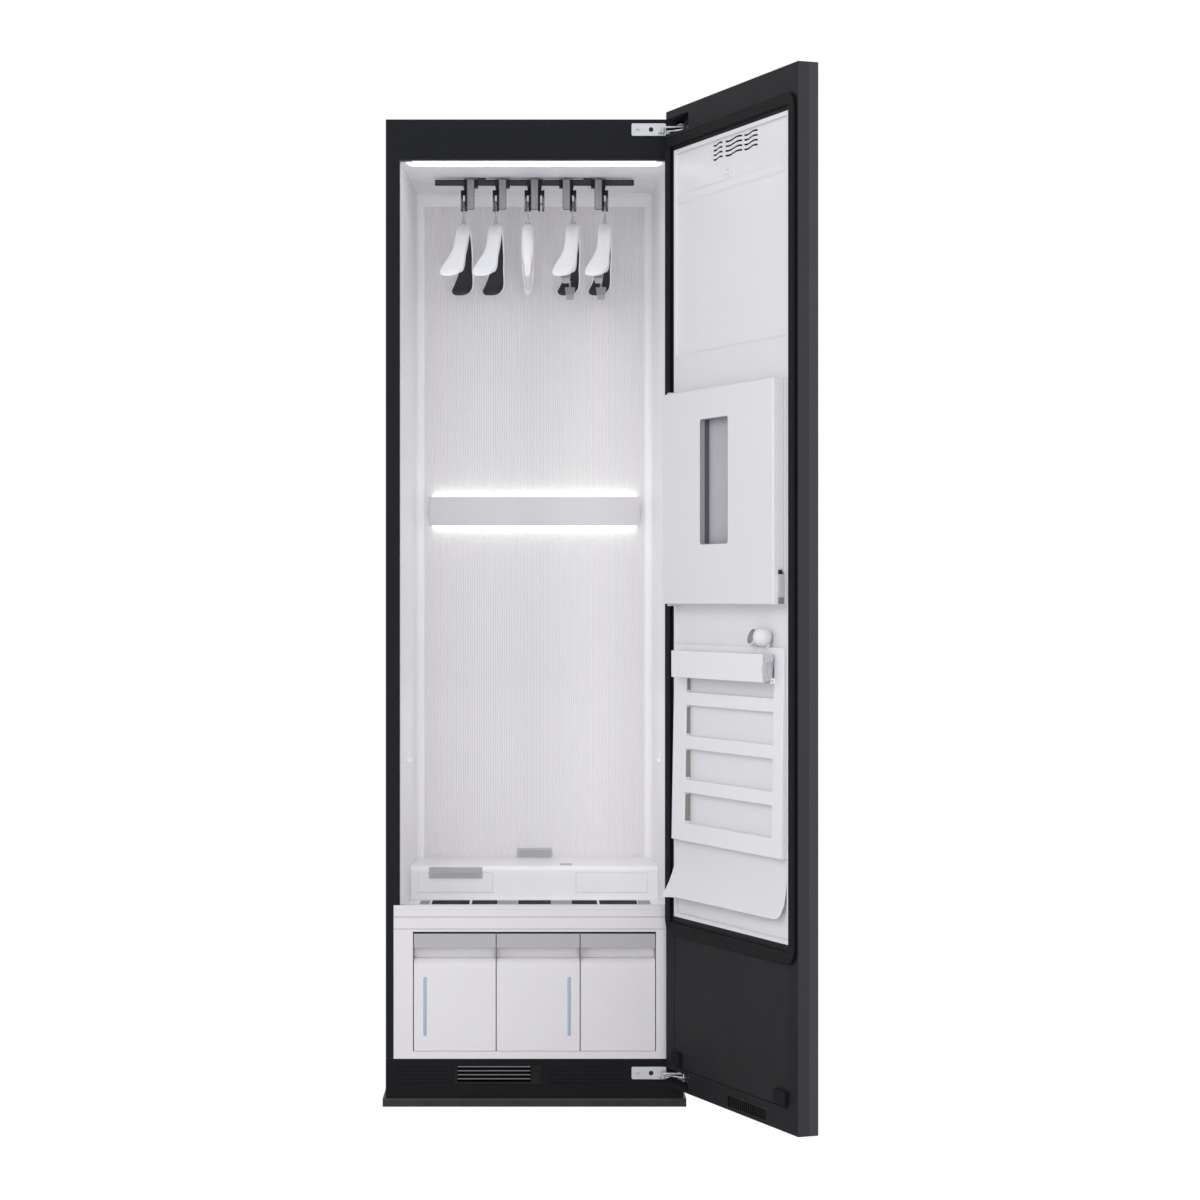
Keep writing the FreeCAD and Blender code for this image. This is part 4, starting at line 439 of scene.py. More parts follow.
GASKET = Finish("gasket_bellows", Slot.GASKET, "#121214", 0.7, specular=0.15, grain=0.25, pitch=600)
PRESS_WHITE = Finish("press_moulding", Slot.PRESS, "#d6d6d8", 0.4, spread=0.012, grain=0.08)
PRESS_BOARD = Finish("press_board", Slot.PRESS, "#d5d4d8", 0.44, spread=0.015, grain=0.1)
PRESS_RIBBED = Finish("press_ribbed_grey", Slot.GREY, "#a8a5ac", 0.6, spread=0.05, grain=0.3, pitch=1300)
# Grey that paints the shade on the press window's walls; the next one paints the shadow in the gap behind the plate.
PRESS_WALL_SHADE = Finish("press_window_wall_shade", Slot.GREY, "#8f8c92", 0.5)
PRESS_GAP_SHADOW = Finish("press_window_gap_shadow", Slot.BUMPER, "#57545a", 0.7, specular=0.25, spread=0.04, grain=0.3)
LATCH_DARK = Finish("latch_cap_black", Slot.GREY, "#29292b", 0.5, specular=0.3, spread=0.04)
LATCH_PALE = Finish("latch_body_grey", Slot.GREY, "#b9b8bc", 0.4)
LATCH_FOOT = Finish("latch_foot_grey", Slot.GREY, "#7b7a7e")
# Brownish grey that paints the shade on the hem rack windows' side walls.
WINDOW_SHADE = Finish("rack_window_painted_shade", Slot.GREY, "#857f7a", 0.5)
CLAMP_END = Finish("clamp_end_grey", Slot.GREY, "#bdbcc0", 0.4, spread=0.02, grain=0.1)
# Grey that paints the shade inside the cupped rest.
CUP_SHADE = Finish("cup_inside_painted_shade", Slot.GREY, "#a39f9b", 0.5, grain=0.15)
SEAM_GREY = Finish("seam_shade", Slot.GREY, "#b9b6ba", 0.5, spread=0.02, grain=0.1)
DIVIDER = Finish("divider_grey", Slot.GREY, "#8c8a8f", 0.5)
TRAY_GREY = Finish("return_frame_grey", Slot.GREY, "#8f8e93", 0.5, grain=0.15)
RACK_WHITE = Finish("rack_moulding", Slot.PRESS, "#dedde1", 0.38, spread=0.012, grain=0.07)
LEVER_GREY = Finish("lever_moulding", Slot.GREY, "#b7b6ba", 0.4)
FLAP = Finish("drip_flap_silicone", Slot.FLAP, "#d7d6d8", 0.4, spread=0.02, grain=0.08, bury=0.002)
TANK = Finish("tank_white", Slot.TANK, "#dad7da", 0.32, bury=0.002, **SATIN)
BAND = Finish("tank_band_grey", Slot.BAND, "#a9a8ad", 0.4, spread=0.02, grain=0.1)
WINDOW = Finish("level_window_aqua", Slot.TANK, "#93adb9", 0.15, spread=0.05, grain=0.02, coat=0.6)
COMPRESSOR = Finish("compressor_enamel", Slot.COMPRESSOR, "#17181a", 0.35, spread=0.08, grain=0.3, coat=0.3)
COIL = Finish("coil_fin_stock", Slot.COIL, "#b4b8ba", 0.35, 0.95, spread=0.1, grain=0.4, stretch=(2200, 30, 30))
MACHINE = Finish("machine_moulding", Slot.MACHINE, "#6f7275", 0.55, spread=0.05, grain=0.3)
MACHINE_PALE = Finish("control_box_moulding", Slot.MACHINE, "#a5a7a8", 0.55, spread=0.04, grain=0.3)
WHEEL = Finish("fan_wheel_moulding", Slot.MACHINE, "#2d3033", 0.5, spread=0.05, grain=0.2)
BOILER = Finish(
    "boiler_plate", Slot.BOILER, "#b9bbbd", 0.32, 0.95, spread=0.1, wipe=0.12, grain=0.3, stretch=(900, 900, 10)
)


# ---- shapes ----


@dataclass
class Skin:
    """Points and faces of one piece, gathered from grids and rings of points in millimetres.

    Attributes:
        points: one array of points for each surface.
        faces: corner numbers of each face.
        marks: number of the finish on each face.
        total: points so far.
    """

    points: list[np.ndarray] = field(default_factory=list)
    faces: list[list[int]] = field(default_factory=list)
    marks: list[int] = field(default_factory=list)
    total: int = 0

    def grid(
        self, points: np.ndarray, wrap_rows: bool = False, wrap_columns: bool = False, mark: int | np.ndarray = 0
    ) -> "Skin":
        """Lay quads over a grid of points.

        Args:
            points: rows by columns by 3.
            wrap_rows: the last row joins the first.
            wrap_columns: the last column joins the first.
            mark: finish number, for all, or for each strip between two columns or two rows.

        Returns:
            This skin.
        """
        rows, columns = points.shape[:2]
        index = np.arange(rows * columns).reshape(rows, columns) + self.total
        if wrap_rows:
            index = np.vstack((index, index[:1]))
        if wrap_columns:
            index = np.hstack((index, index[:, :1]))
        quads = np.stack((index[:-1, :-1], index[1:, :-1], index[1:, 1:], index[:-1, 1:]), axis=-1)
        self.faces += quads.reshape(-1, 4).tolist()
        self.marks += np.broadcast_to(np.asarray(mark), quads.shape[:2]).reshape(-1).tolist()
        self.points.append(points.reshape(-1, 3))
        self.total += rows * columns
        return self

    def rings(self, rings: np.ndarray, mark: int | np.ndarray = 0, caps: bool = True, cap_mark: int = 0) -> "Skin":
        """Skin a stack of closed rings, with a flat face on the first and the last one.

        Args:
            rings: rings by points by 3.
            mark: finish number of the sides.
            caps: close both ends.
            cap_mark: finish number of the ends.

        Returns:
            This skin.
        """
        start = self.total
        count, around = rings.shape[:2]
        self.grid(rings, wrap_columns=True, mark=mark)
        if caps:
            last = start + (count - 1) * around
            self.faces += [list(range(start, start + around)), list(range(last, last + around))]
            self.marks += [cap_mark, cap_mark]
        return self

    def piece(
        self,
        name: str,
        finishes: Sequence[Finish],
        body: Body | str,
        replaces: Sequence[str] = (),
        bevel: float = 0.0,
        crease: float = 32.0,
        shut: bool = False,
    ) -> None:
        """Make the object, merge its seams, turn its faces outwards and set it on its body.

        Args:
            name: name of the piece.
            finishes: materials by mark.
            body: body that it rides on.
            replaces: CAD nodes that it stands for.
            bevel: width of its edge bevel in millimetres.
            crease: smallest angle that stays a sharp edge, in degrees.
            shut: the points are those of the shut door, and are swung to where it stands open.
        """
        points = np.vstack(self.points)
        mesh = bpy.data.meshes.new(name)
        mesh.from_pydata(((swung(points) if shut else points) * MM).tolist(), [], self.faces)
        mesh.polygons.foreach_set("material_index", np.array(self.marks, np.int32))
        build = bmesh.new()
        build.from_mesh(mesh)
        bmesh.ops.remove_doubles(build, verts=build.verts, dist=2e-6)
        bmesh.ops.recalc_face_normals(build, faces=build.faces)
        settle(build, mesh, finishes, body, replaces, bevel, crease)


def settle(
    build: bmesh.types.BMesh,
    mesh: bpy.types.Mesh,
    finishes: Sequence[Finish],
    body: Body | str,
    replaces: Sequence[str],
    bevel: float,
    crease: float,
    highlight_mark: int = -1,
) -> None:
    """Write the built faces into the mesh, make it an object of the same name, and set it on its body.

    Args:
        build: the faces.
        mesh: the mesh that takes them.
        finishes: materials by mark; the first one is named in the log.
        body: body that it rides on.
        replaces: CAD nodes that it stands for.
        bevel: width of the edge rounding in millimetres, or 0 for none.
        crease: smallest angle that stays a sharp edge, in degrees.
        highlight_mark: finish number of the rounded edge, where it paints a lighter highlight, or -1 to keep the
            neighbour's.
    """
    mesh.materials.clear()
    for finish in finishes:
        mesh.materials.append(finish.material())
    build.to_mesh(mesh)
    build.free()
    mesh.shade_smooth()
    mesh.set_sharp_from_angle(angle=math.radians(crease))
    made = bpy.data.objects.new(mesh.name, mesh)
    bpy.context.scene.collection.objects.link(made)
    if bevel:
        edges = made.modifiers.new("edge_round", "BEVEL")
        edges.width = bevel * MM
        edges.segments = 2
        edges.limit_method = "ANGLE"
        edges.angle_limit = math.radians(BEVEL_FROM)
        edges.use_clamp_overlap = False
        edges.harden_normals = True
        edges.material = highlight_mark
    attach(made, body.value if isinstance(body, Body) else body)
    if replaces:
        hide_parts(*replaces)
    log.info("%s: %d faces, %s", made.name, len(mesh.polygons), finishes[0].name)


def refine(body: Body, *rows: tuple) -> None:
    """Copy CAD nodes of one body as merged faces with rounded edges, to stand for them.

    Args:
        body: body that they ride on.
        rows: for each node its name, its finish, the width of its edge rounding in millimetres, and where it has
            them a second finish and the direction that this one faces. A second finish without a direction goes on
            the rounded edges; with one it goes on each face whose normal n has n . direction > FACES_IT.
    """
    for node, finish, bevel, *more in rows:
        second, facing = (*more, None, None)[:2]
        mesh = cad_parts[node].data.copy()
        mesh.name = f"{node}_refined"
        if "custom_normal" in mesh.attributes:
            mesh.attributes.remove(mesh.attributes["custom_normal"])
        build = bmesh.new()
        build.from_mesh(mesh)
        bmesh.ops.remove_doubles(build, verts=build.verts, dist=1e-5)
        bmesh.ops.dissolve_limit(build, angle_limit=math.radians(0.8), verts=build.verts, edges=build.edges)
        build.normal_update()
        for face in build.faces:
            face.material_index = int(facing is not None and face.normal.dot(facing) > FACES_IT)
        finishes = [finish, second] if second else [finish]
        # A second finish on the rounded edges is a lighter copy that paints their highlight.
        settle(build, mesh, finishes, body, [node], bevel, BEVEL_FROM, 1 if second and not facing else -1)


def dress(**finishes: Finish) -> None:
    """Give CAD nodes that stay in view their finish.

    Args:
        finishes: finish of each node, by its name.
    """
    for node, finish in finishes.items():
        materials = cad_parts[node].data.materials
        materials.clear()
        materials.append(finish.material())
        log.info("%s: %s", node, finish.name)


def round_rectangle(half_width: float, half_height: float, radius: float) -> np.ndarray:
    """Outline of a rectangle with round corners.

    Corner k has its centre at (+-(w - r), +-(h - r)); its points are centre + r (cos a, sin a).

    Args:
        half_width: half of the width.
        half_height: half of the height.
        radius: corner radius.

    Returns:
        Points of the outline, as (across, up).
    """
    angle = np.arange(4)[:, None] * np.pi / 2 + np.linspace(0, np.pi / 2, CORNER_POINTS)
    signs = np.array([[1, 1], [-1, 1], [-1, -1], [1, -1]])
    centre = signs * np.array([half_width - radius, half_height - radius])
    points = centre[:, None] + radius * np.stack((np.cos(angle), np.sin(angle)), axis=-1)
    return points.reshape(-1, 2)


def rounded_edge(depth: float, radius: float) -> np.ndarray:
    """Side profile of a plate with quarter-round edges.

    The front edge is (r - r sin a, r - r cos a) for a from 0 to 90 degrees; the back edge mirrors it.

    Args:
        depth: thickness of the plate.
        radius: radius of the edges.

    Returns:
        Rows of (inset, depth).
    """
    angle = np.linspace(0, np.pi / 2, EDGE_POINTS)
    front = np.stack((radius - radius * np.sin(angle), radius - radius * np.cos(angle)), axis=-1)
    return np.vstack((front, front[::-1] * (1, -1) + (0, depth)))


def plate_rings(
    centre: Sequence[float], half_width: float, half_height: float, corner: float, profile: np.ndarray
) -> np.ndarray:
    """Rings of an upright plate that faces -Y.

    Ring i is the round rectangle drawn in by inset i, set back by depth i.

    Args:
        centre: middle of the front face.
        half_width: half of the width.
        half_height: half of the height.
        corner: corner radius.
        profile: rows of (inset, depth).

    Returns:
        Rings by points by 3.
    """
    rings = []
    for inset, depth in profile:
        outline = round_rectangle(half_width - inset, half_height - inset, max(corner - inset, 0.2))
        rings.append(np.insert(outline, 1, depth, axis=1) + np.asarray(centre))
    return np.array(rings)


def turned(profile: np.ndarray, base: Sequence[float], axis: Sequence[float], around: int = 24) -> np.ndarray:
    """Surface of revolution.

    A point is base + h axis + r (cos a side + sin a up), where side and up are square to the axis.

    Args:
        profile: rows of (radius, height).
        base: start of the axis.
        axis: direction of the axis.
        around: points around.

    Returns:
        Rings by points by 3.
    """
    along = np.asarray(axis, float) / np.linalg.norm(axis)
    helper = np.array([0.0, 0.0, 1.0]) if abs(along[2]) < 0.9 else np.array([1.0, 0.0, 0.0])
    side = np.cross(helper, along)
    side /= np.linalg.norm(side)
    up = np.cross(along, side)
    angle = np.linspace(0, 2 * np.pi, around, endpoint=False)
    ring = np.cos(angle)[:, None] * side + np.sin(angle)[:, None] * up
    return np.asarray(base) + profile[:, 1, None, None] * along + profile[:, 0, None, None] * ring


def pushed(outline: np.ndarray, span: Pair, axis: int = 0) -> np.ndarray:
    """Two rings that push a flat outline along an axis, 0 for X, 1 for Y and 2 for Z.

    Args:
        outline: points of the outline, in the other two axes.
        span: where the rings lie on the axis.
        axis: number of the axis.

    Returns:
        Two rings.
    """
    return np.array([np.insert(np.asarray(outline, float), axis, place, axis=1) for place in span])


def swung(points: np.ndarray) -> np.ndarray:
    """Turn points of the shut door to where it stands open.

    The turn R is about the upright line through the pivot: p' = pivot + R (p - pivot).

    Args:
        points: points by 3, of the shut door.

    Returns:
        The same points with the door open.
    """
    cosine, sine = math.cos(DOOR_TURN), math.sin(DOOR_TURN)
    turn = np.array([[cosine, -sine, 0], [sine, cosine, 0], [0, 0, 1]])
    return (points - DOOR_PIVOT) @ turn.T + DOOR_PIVOT


# ---- the cabinet ----


@dataclass
class CaseShell:
    """Painted case, its base and the grille in its kick panel.

    Attributes:
        edge: rounding of the case's edges.
        highlight_strip: X middle, Y, half length and half height of the strip that paints a slat's highlight.
        slats: Z of these strips.
    """

    edge: float = 0.9
    highlight_strip: tuple[float, float, float, float] = (-81.0, -1.8, 72.5, 0.9)
    slats: tuple[float, ...] = (55.2, 63.3, 71.3, 79.5)

    def build(self) -> None:
        """Refine the sheets and mouldings of the case and paint highlight strips on the slats."""
        refine(
            Body.CABINET,
            # The second finish on rounded edges paints their highlight.
            ("front_frame", CASE_PAINT, self.edge, CASE_EDGE_HIGHLIGHT),
            ("side_panels", CASE_PAINT, self.edge, CASE_EDGE_HIGHLIGHT),
            ("top_panel", CASE_PAINT, 0.5),
            ("back_panel", ZINC, 0.4),
            ("kick_panel", KICK_PAINT, 0.4),
            ("base_plate", PLINTH, self.edge, CASE_EDGE_HIGHLIGHT),
        )
        refine(Body.INTAKE, ("intake_grille", GRILLE_DARK, 0.4))
        dress(levelling_feet=BUMPER)
        # Light-grey strips along the slats' front edges paint their highlights.
        skin = Skin()
        x, y, *size = self.highlight_strip
        for level in self.slats:
            skin.rings(plate_rings((x, y, level), *size, 0.6, rounded_edge(1.0, 0.3)))
        skin.piece("grille_slat_highlight_strips", [SLAT_HIGHLIGHT], Body.INTAKE)


@dataclass
class Chamber:
    """White lining of the hanging space.

    Attributes:
        half_front: half width at the opening.
        taper: narrowing from the opening to the back.
        back: depth of the back lining.
        cove: radius of the upright corners.
        low: top of the steam housing.
        high: underside of the ceiling's cove.
        pan: X reach, Y span and Z span of the air return's mat.
        slots: Y span and top of the floor's air slots.
        frames: X spans of the grey frames between the slots.
        slot_shades: X spans of the ribbed black plates that paint the shade in the slots.
        outlet: Y, Z and X span of the bend over which the steam outlet's top lies.
        cover: inner and outer radius of that top and the height of its louvres.
        seams: Z, half height and front Y of each seam in the sill.
        sill: half length of a seam and Y at which it ends.
        gaps: X of the dividers between the containers.
        divider: Y, Z middle, half thickness and half height of a divider.
    """

    half_front: float = 269.5
    taper: float = 14.5
    back: float = 500.0
    cove: float = 17.0
    low: float = 452.7
    high: float = 1890.0
    pan: tuple[float, Pair, Pair] = (222.0, (146.0, 269.0), (366.0, 379.8))
    slots: tuple[Pair, float] = ((186.0, 272.0), 383.0)
    frames: tuple[Pair, ...] = ((-238.0, -217.6), (-77.6, -34.6), (33.8, 77.6), (214.8, 241.0))
    slot_shades: tuple[Pair, ...] = ((-213.0, -135.4), (-129.8, -77.8), (-33.8, 33.8), (77.8, 129.8), (135.4, 213.0))
    outlet: tuple[float, float, Pair] = (304.0, 443.7, (-221.5, -109.5))
    cover: Triple = (8.6, 9.9, 0.35)
    seams: tuple[Triple, ...] = ((354.6, 0.55, -0.72), (378.6, 0.55, -0.72), (393.4, 0.3, -1.04))
    sill: Pair = (281.0, 0.2)
    gaps: Pair = (-76.5, 91.5)
    divider: tuple[float, float, float, float] = (3.5, 229.5, 0.6, 118.0)

    def build(self) -> None:
        """Line the chamber."""
        refine(
            Body.CABINET,
            ("liner_sides", LINER_WHITE, 0.4),
            ("liner_ceiling", LINER_WHITE, 0.4),
            ("chamber_floor", HOUSING_WHITE, 0.5),
            ("steam_housing", HOUSING_WHITE, 0.5),
            ("vent_plates", GREY_PLATE, 0.4),
            ("shelf_clips", CLIP_WHITE, 0.8),
            ("lower_frame", WHITE_PLASTIC, 0.7),
        )
        dress(liner_back=BACK_WHITE)
        self.corner_coves()
        self.return_mat()
        self.return_frame()
        self.outlet_cover()
        self.sill_lines()

    def corner_coves(self) -> None:
        """Hollow quarter rounds up both back corners.

        The face is centre + r (cos a, sin a), a from 0 to 90 degrees, closed behind at the corner.
        """
        angle = np.linspace(0, np.pi / 2, 13)
        wall = self.half_front - self.taper * (self.back - self.cove) / self.back
        arc = np.stack((np.cos(angle), np.sin(angle)), axis=-1) * self.cove
        arc += (wall - self.cove, self.back - 0.4 - self.cove)
        outline = np.vstack((arc, [[wall + 0.6, self.back + 0.4]]))
        skin = Skin()
        for side in (-1, 1):
            skin.rings(pushed(outline * (side, 1), (self.low, self.high), 2))
        skin.piece("corner_coves", [LINER_WHITE], Body.CABINET)

    def return_mat(self) -> None:
        """Dark ribbed mat under the floor's air slots; its top is a row of ridges 6 mm apart."""
        reach, (front, back), (low, high) = self.pan
        across = np.linspace(front, back, 83)
        ridge = high - 2.0 - 2.0 * np.abs(((across - front) / 6.0) % 2 - 1)
        wall = [[back, high], [back + 3, high], [back + 3, low], [front - 3, low], [front - 3, high], [front, high]]
        outline = np.vstack((np.column_stack((across, ridge)), wall))
        Skin().rings(pushed(outline, (-reach, reach))).piece("return_mat", [GRILLE_DARK], Body.CABINET)

    def return_frame(self) -> None:
        """Grey frame round the air return with a ribbed black plate in each slot that paints its shade, ribs 0.35
        |sin(pi x / 5)| high.
        """
        (front, back), top = self.slots
        frames, slot_shades = Skin(), Skin()
        for low, high in self.frames:
            size = ((high - low) / 2, (back - front) / 2, 2.0)
            rings = plate_rings(((low + high) / 2, 0, (front + back) / 2), *size, rounded_edge(1.0, 0.4))
            frames.rings(np.stack((rings[..., 0], rings[..., 2], top + 0.4 - rings[..., 1]), axis=-1))
        # Black ribbed plates flush in the slots paint the shade that fills them.
        for low, high in self.slot_shades:
            across = np.linspace(low, high, 8 * round((high - low) / 5) + 1)
            height = top + 0.5 + 0.35 * np.abs(np.sin(np.pi * (across - low) / 5.0))
            outline = np.vstack((np.column_stack((across, height)), [(high, top - 3.0), (low, top - 3.0)]))
            slot_shades.rings(pushed(outline, (front, back), 1))
        frames.piece("return_frame", [TRAY_GREY], Body.CABINET)
        slot_shades.piece("return_slot_shades", [SLOT_SHADE_BLACK], Body.CABINET)

    def outlet_cover(self) -> None:
        """Louvred top of the steam outlet, bent over the housing's rounded edge as centre + r (-cos a, sin a)."""
        y, z, span = self.outlet
        inner, outer, louvre = self.cover
        angle = np.radians(np.linspace(-6, 45, 35))
        ridge = outer + louvre * (np.abs((np.degrees(angle) % 12) - 6) < 3.4)
        bend = np.column_stack((-np.cos(angle), np.sin(angle)))
        outline = np.vstack((bend * ridge[:, None], inner * bend[::-1])) + (y, z)
        Skin().rings(pushed(outline, span)).piece("steam_outlet_top", [GREY_PLATE], Body.CABINET, crease=25)

    def sill_lines(self) -> None:
        """Filled seams along the sill, and dividers in the gaps between the containers."""
        reach, back = self.sill
        skin = Skin()
        for level, half, face in self.seams:
            low, high = level - half, level + half
            skin.rings(pushed([(face, low), (face, high), (back, high), (back, low)], (-reach, reach)))
        skin.piece("sill_seams", [SEAM_GREY], Body.CABINET)
        y, z, *size = self.divider
        skin = Skin()
        for x in self.gaps:
            skin.rings(plate_rings((x, y, z), *size, 0.4, rounded_edge(20.0, 0.3)))
        skin.piece("container_dividers", [DIVIDER], Body.CABINET)


@dataclass
class Lighting:
    """Ceiling lamp and the bar that lights the back lining.

    Attributes:
        half: half length of the bar's lamp box.
        depth: Y span of the lamp box.
        levels: underside and top of the lamp box.
        ends: X at which the ceiling lamp's tapered ends begin and stop.
        lamp: Y span, underside and top of the ceiling lamp.
    """

    half: float = 221.0
    depth: Pair = (485.6, 498.8)
    levels: Pair = (1173.0, 1236.0)
    ends: Pair = (244.2, 258.0)
    lamp: tuple[Pair, float, float] = ((20.6, 32.6), 1884.2, 1891.7)

    def build(self) -> None:
        """Fit the lamps."""
        refine(Body.CABINET, ("ceiling_light", LAMP_STRIP, 0.4), ("light_bar", BAR_FACE, 0.5))
        self.glow_strips()
        self.lamp_ends()

    def glow_strips(self) -> None:
        """Diffusers above and below the bar's lamp box, each crowned as sin(pi t) across its depth."""
        skin = Skin()
        share = np.linspace(0, 1, 9)
        across = self.depth[0] + (self.depth[1] - self.depth[0]) * share
        for level, way in ((self.levels[1], 1), (self.levels[0], -1)):
            crown = level + way * (0.6 + 1.6 * np.sin(np.pi * share))
            outline = np.vstack((np.column_stack((across, crown)), [[across[-1], level], [across[0], level]]))
            skin.rings(pushed(outline, (-self.half, self.half)))
        skin.piece("bar_glow_strips", [BAR_GLOW], Body.CABINET)

    def lamp_ends(self) -> None:
        """Tapered ends of the ceiling lamp: the underside rises as low + 6 t^2 from the lamp outwards."""
        (front, back), low, high = self.lamp
        share = np.linspace(0, 1, 7)
        reach = self.ends[0] + (self.ends[1] - self.ends[0]) * share
        skin = Skin()
        for side in (-1, 1):
            rings = np.zeros((len(share), 4, 3))
            rings[..., 0] = side * reach[:, None]
            rings[..., 1] = (front, back, back, front)
            rings[:, :2, 2] = (low + 6.0 * share**2)[:, None]
            rings[:, 2:, 2] = high
            skin.rings(rings)
        skin.piece("ceiling_lamp_ends", [LAMP_TAIL], Body.CABINET)


# ---- hanging rail and hangers ----


@dataclass
class HangingRail:
    """Shaken rail with its five holders.

    Attributes:
        pitch: distance between holders.
        back: Y of the rail's middle.
        rail: underside and top of the rail.
        drop: length of a tab below the rail.
        pin_height: Z of the hook pins.
        hooked: for each holder, the sides on which it carries a hook.
        tab: half width and corner radius of a tab, and how far it stands before the rail.
        half_clip: half widths of a saddle and of its core.
    """

    pitch: float = 66.5
    back: float = 250.0
    rail: Pair = (1876.6, 1888.6)
    drop: float = 52.0
    pin_height: float = 1838.0
    hooked: tuple[tuple[int, ...], ...] = ((-1,), (-1,), (-1, 1), (1,), (1,))
    tab: Triple = (8.0, 3.0, 17.0)
    half_clip: Pair = (15.0, 5.2)

    def build(self) -> None:
        """Refine the rail and make the holders."""
        refine(Body.RAIL, ("hanger_rail", RAIL_METAL, 0.5))
        dress(shaker_crank=HOOK_STEEL, shaker_motor=MACHINE)
        self.tabs()
        self.clips()
        self.forks()

    def holders(self) -> list[tuple[float, tuple[int, ...]]]:
        """Middle of each holder and the sides on which it carries a hook."""
        return [(self.pitch * (i - 2), sides) for i, sides in enumerate(self.hooked)]

    def tabs(self) -> None:
        """Front tabs: plates with round corners, a dark rim and a shallow groove down each side."""
        profile = np.array(
            [(5.2, 0.5), (4.6, 0.9), (3.4, 0.9), (2.8, 0.0), (1.2, 0.0), (0.35, 0.35), (0, 1.2), (0, 2.8), (1.0, 3.8)]
        )
        low, high = self.rail
        half, corner, before = self.tab
        rim = np.isin(np.arange(len(profile) - 1), (4, 5, 6, 7)).astype(int)[:, None]
        skin = Skin()
        for x, _ in self.holders():
            centre = (x, self.back - before, (high + low - self.drop) / 2)
            skin.rings(plate_rings(centre, half, (high - low + self.drop) / 2, corner, profile), rim)
        skin.piece("holder_tabs", [HOLDER_GREY, HOLDER_EDGE], Body.RAIL, ["hanger_holders"], crease=50)

    def clips(self) -> None:
        """Black saddles round the rail with a core behind each tab, as closed U outlines along X."""
        low, high = self.rail
        front, back, foot = self.back - 13, self.back + 11, low - self.drop
        near, far = self.back - 6.4, self.back + 6.4
        saddle = [
            (front + 1, high), (front, high - 1), (front, low - 4), (front + 1, low - 5), (back - 1, low - 5),
            (back, low - 4), (back, high - 1), (back - 1, high), (far, high), (far, low - 0.4), (near, low - 0.4),
            (near, high),
        ]  # fmt: skip
        core = [
            (front, low - 1), (front, foot + 6), (front + 3, foot + 4), (back - 8, foot + 4), (back - 4, foot + 8),
            (back - 4, low - 1),
        ]  # fmt: skip
        skin = Skin()
        for x, _ in self.holders():
            for outline, half in zip((saddle, core), self.half_clip):
                skin.rings(pushed(outline, (x - half, x + half)))
        skin.piece("holder_clips", [HOLDER_BLACK], Body.RAIL, bevel=0.6)

    def forks(self) -> None:
        """Cheeks, bridges and pins that carry the hooks: dark arms with bright steel strips that paint their
        highlights.
        """
        low, high = self.pin_height - 14.5, self.rail[0] - 10
        parts = (
            (7.2, 11.9, high, low), (16.1, 20.6, high, low), (7.2, 20.6, high, high - 10),
            (4.0, 14.0, self.rail[0], high - 6),
        )  # fmt: skip
        pin = np.array([(0.0, 0.0), (2.4, 0.0), (3.0, 0.6), (3.0, 12.4), (2.4, 13.0), (0.0, 13.0)])
        arms, strips = Skin(), Skin()
        for x, side in ((x, side) for x, sides in self.holders() for side in sides):
            for near, far, top, bottom in parts:
                middle = (x + side * (near + far) / 2, self.back - 7, (top + bottom) / 2)
                size = ((far - near) / 2, (top - bottom) / 2, 1.2)
                arms.rings(plate_rings(middle, *size, rounded_edge(14.0, 1.2)))
            # A bright steel strip down each arm paints its highlight.
            strip = (x + side * 18.4, self.back - 7.5, (low + high - 14) / 2)
            strips.rings(plate_rings(strip, 0.6, (high - low - 18) / 2, 0.5, rounded_edge(0.9, 0.25)))
            start = (x + side * 7.6, self.back, self.pin_height)
            strips.rings(turned(pin, start, (side, 0, 0), 20), caps=False)
        arms.piece("holder_forks", [HOLDER_BLACK], Body.RAIL, crease=40)
        strips.piece("holder_pins_and_highlight_strips", [HOOK_STEEL], Body.RAIL)


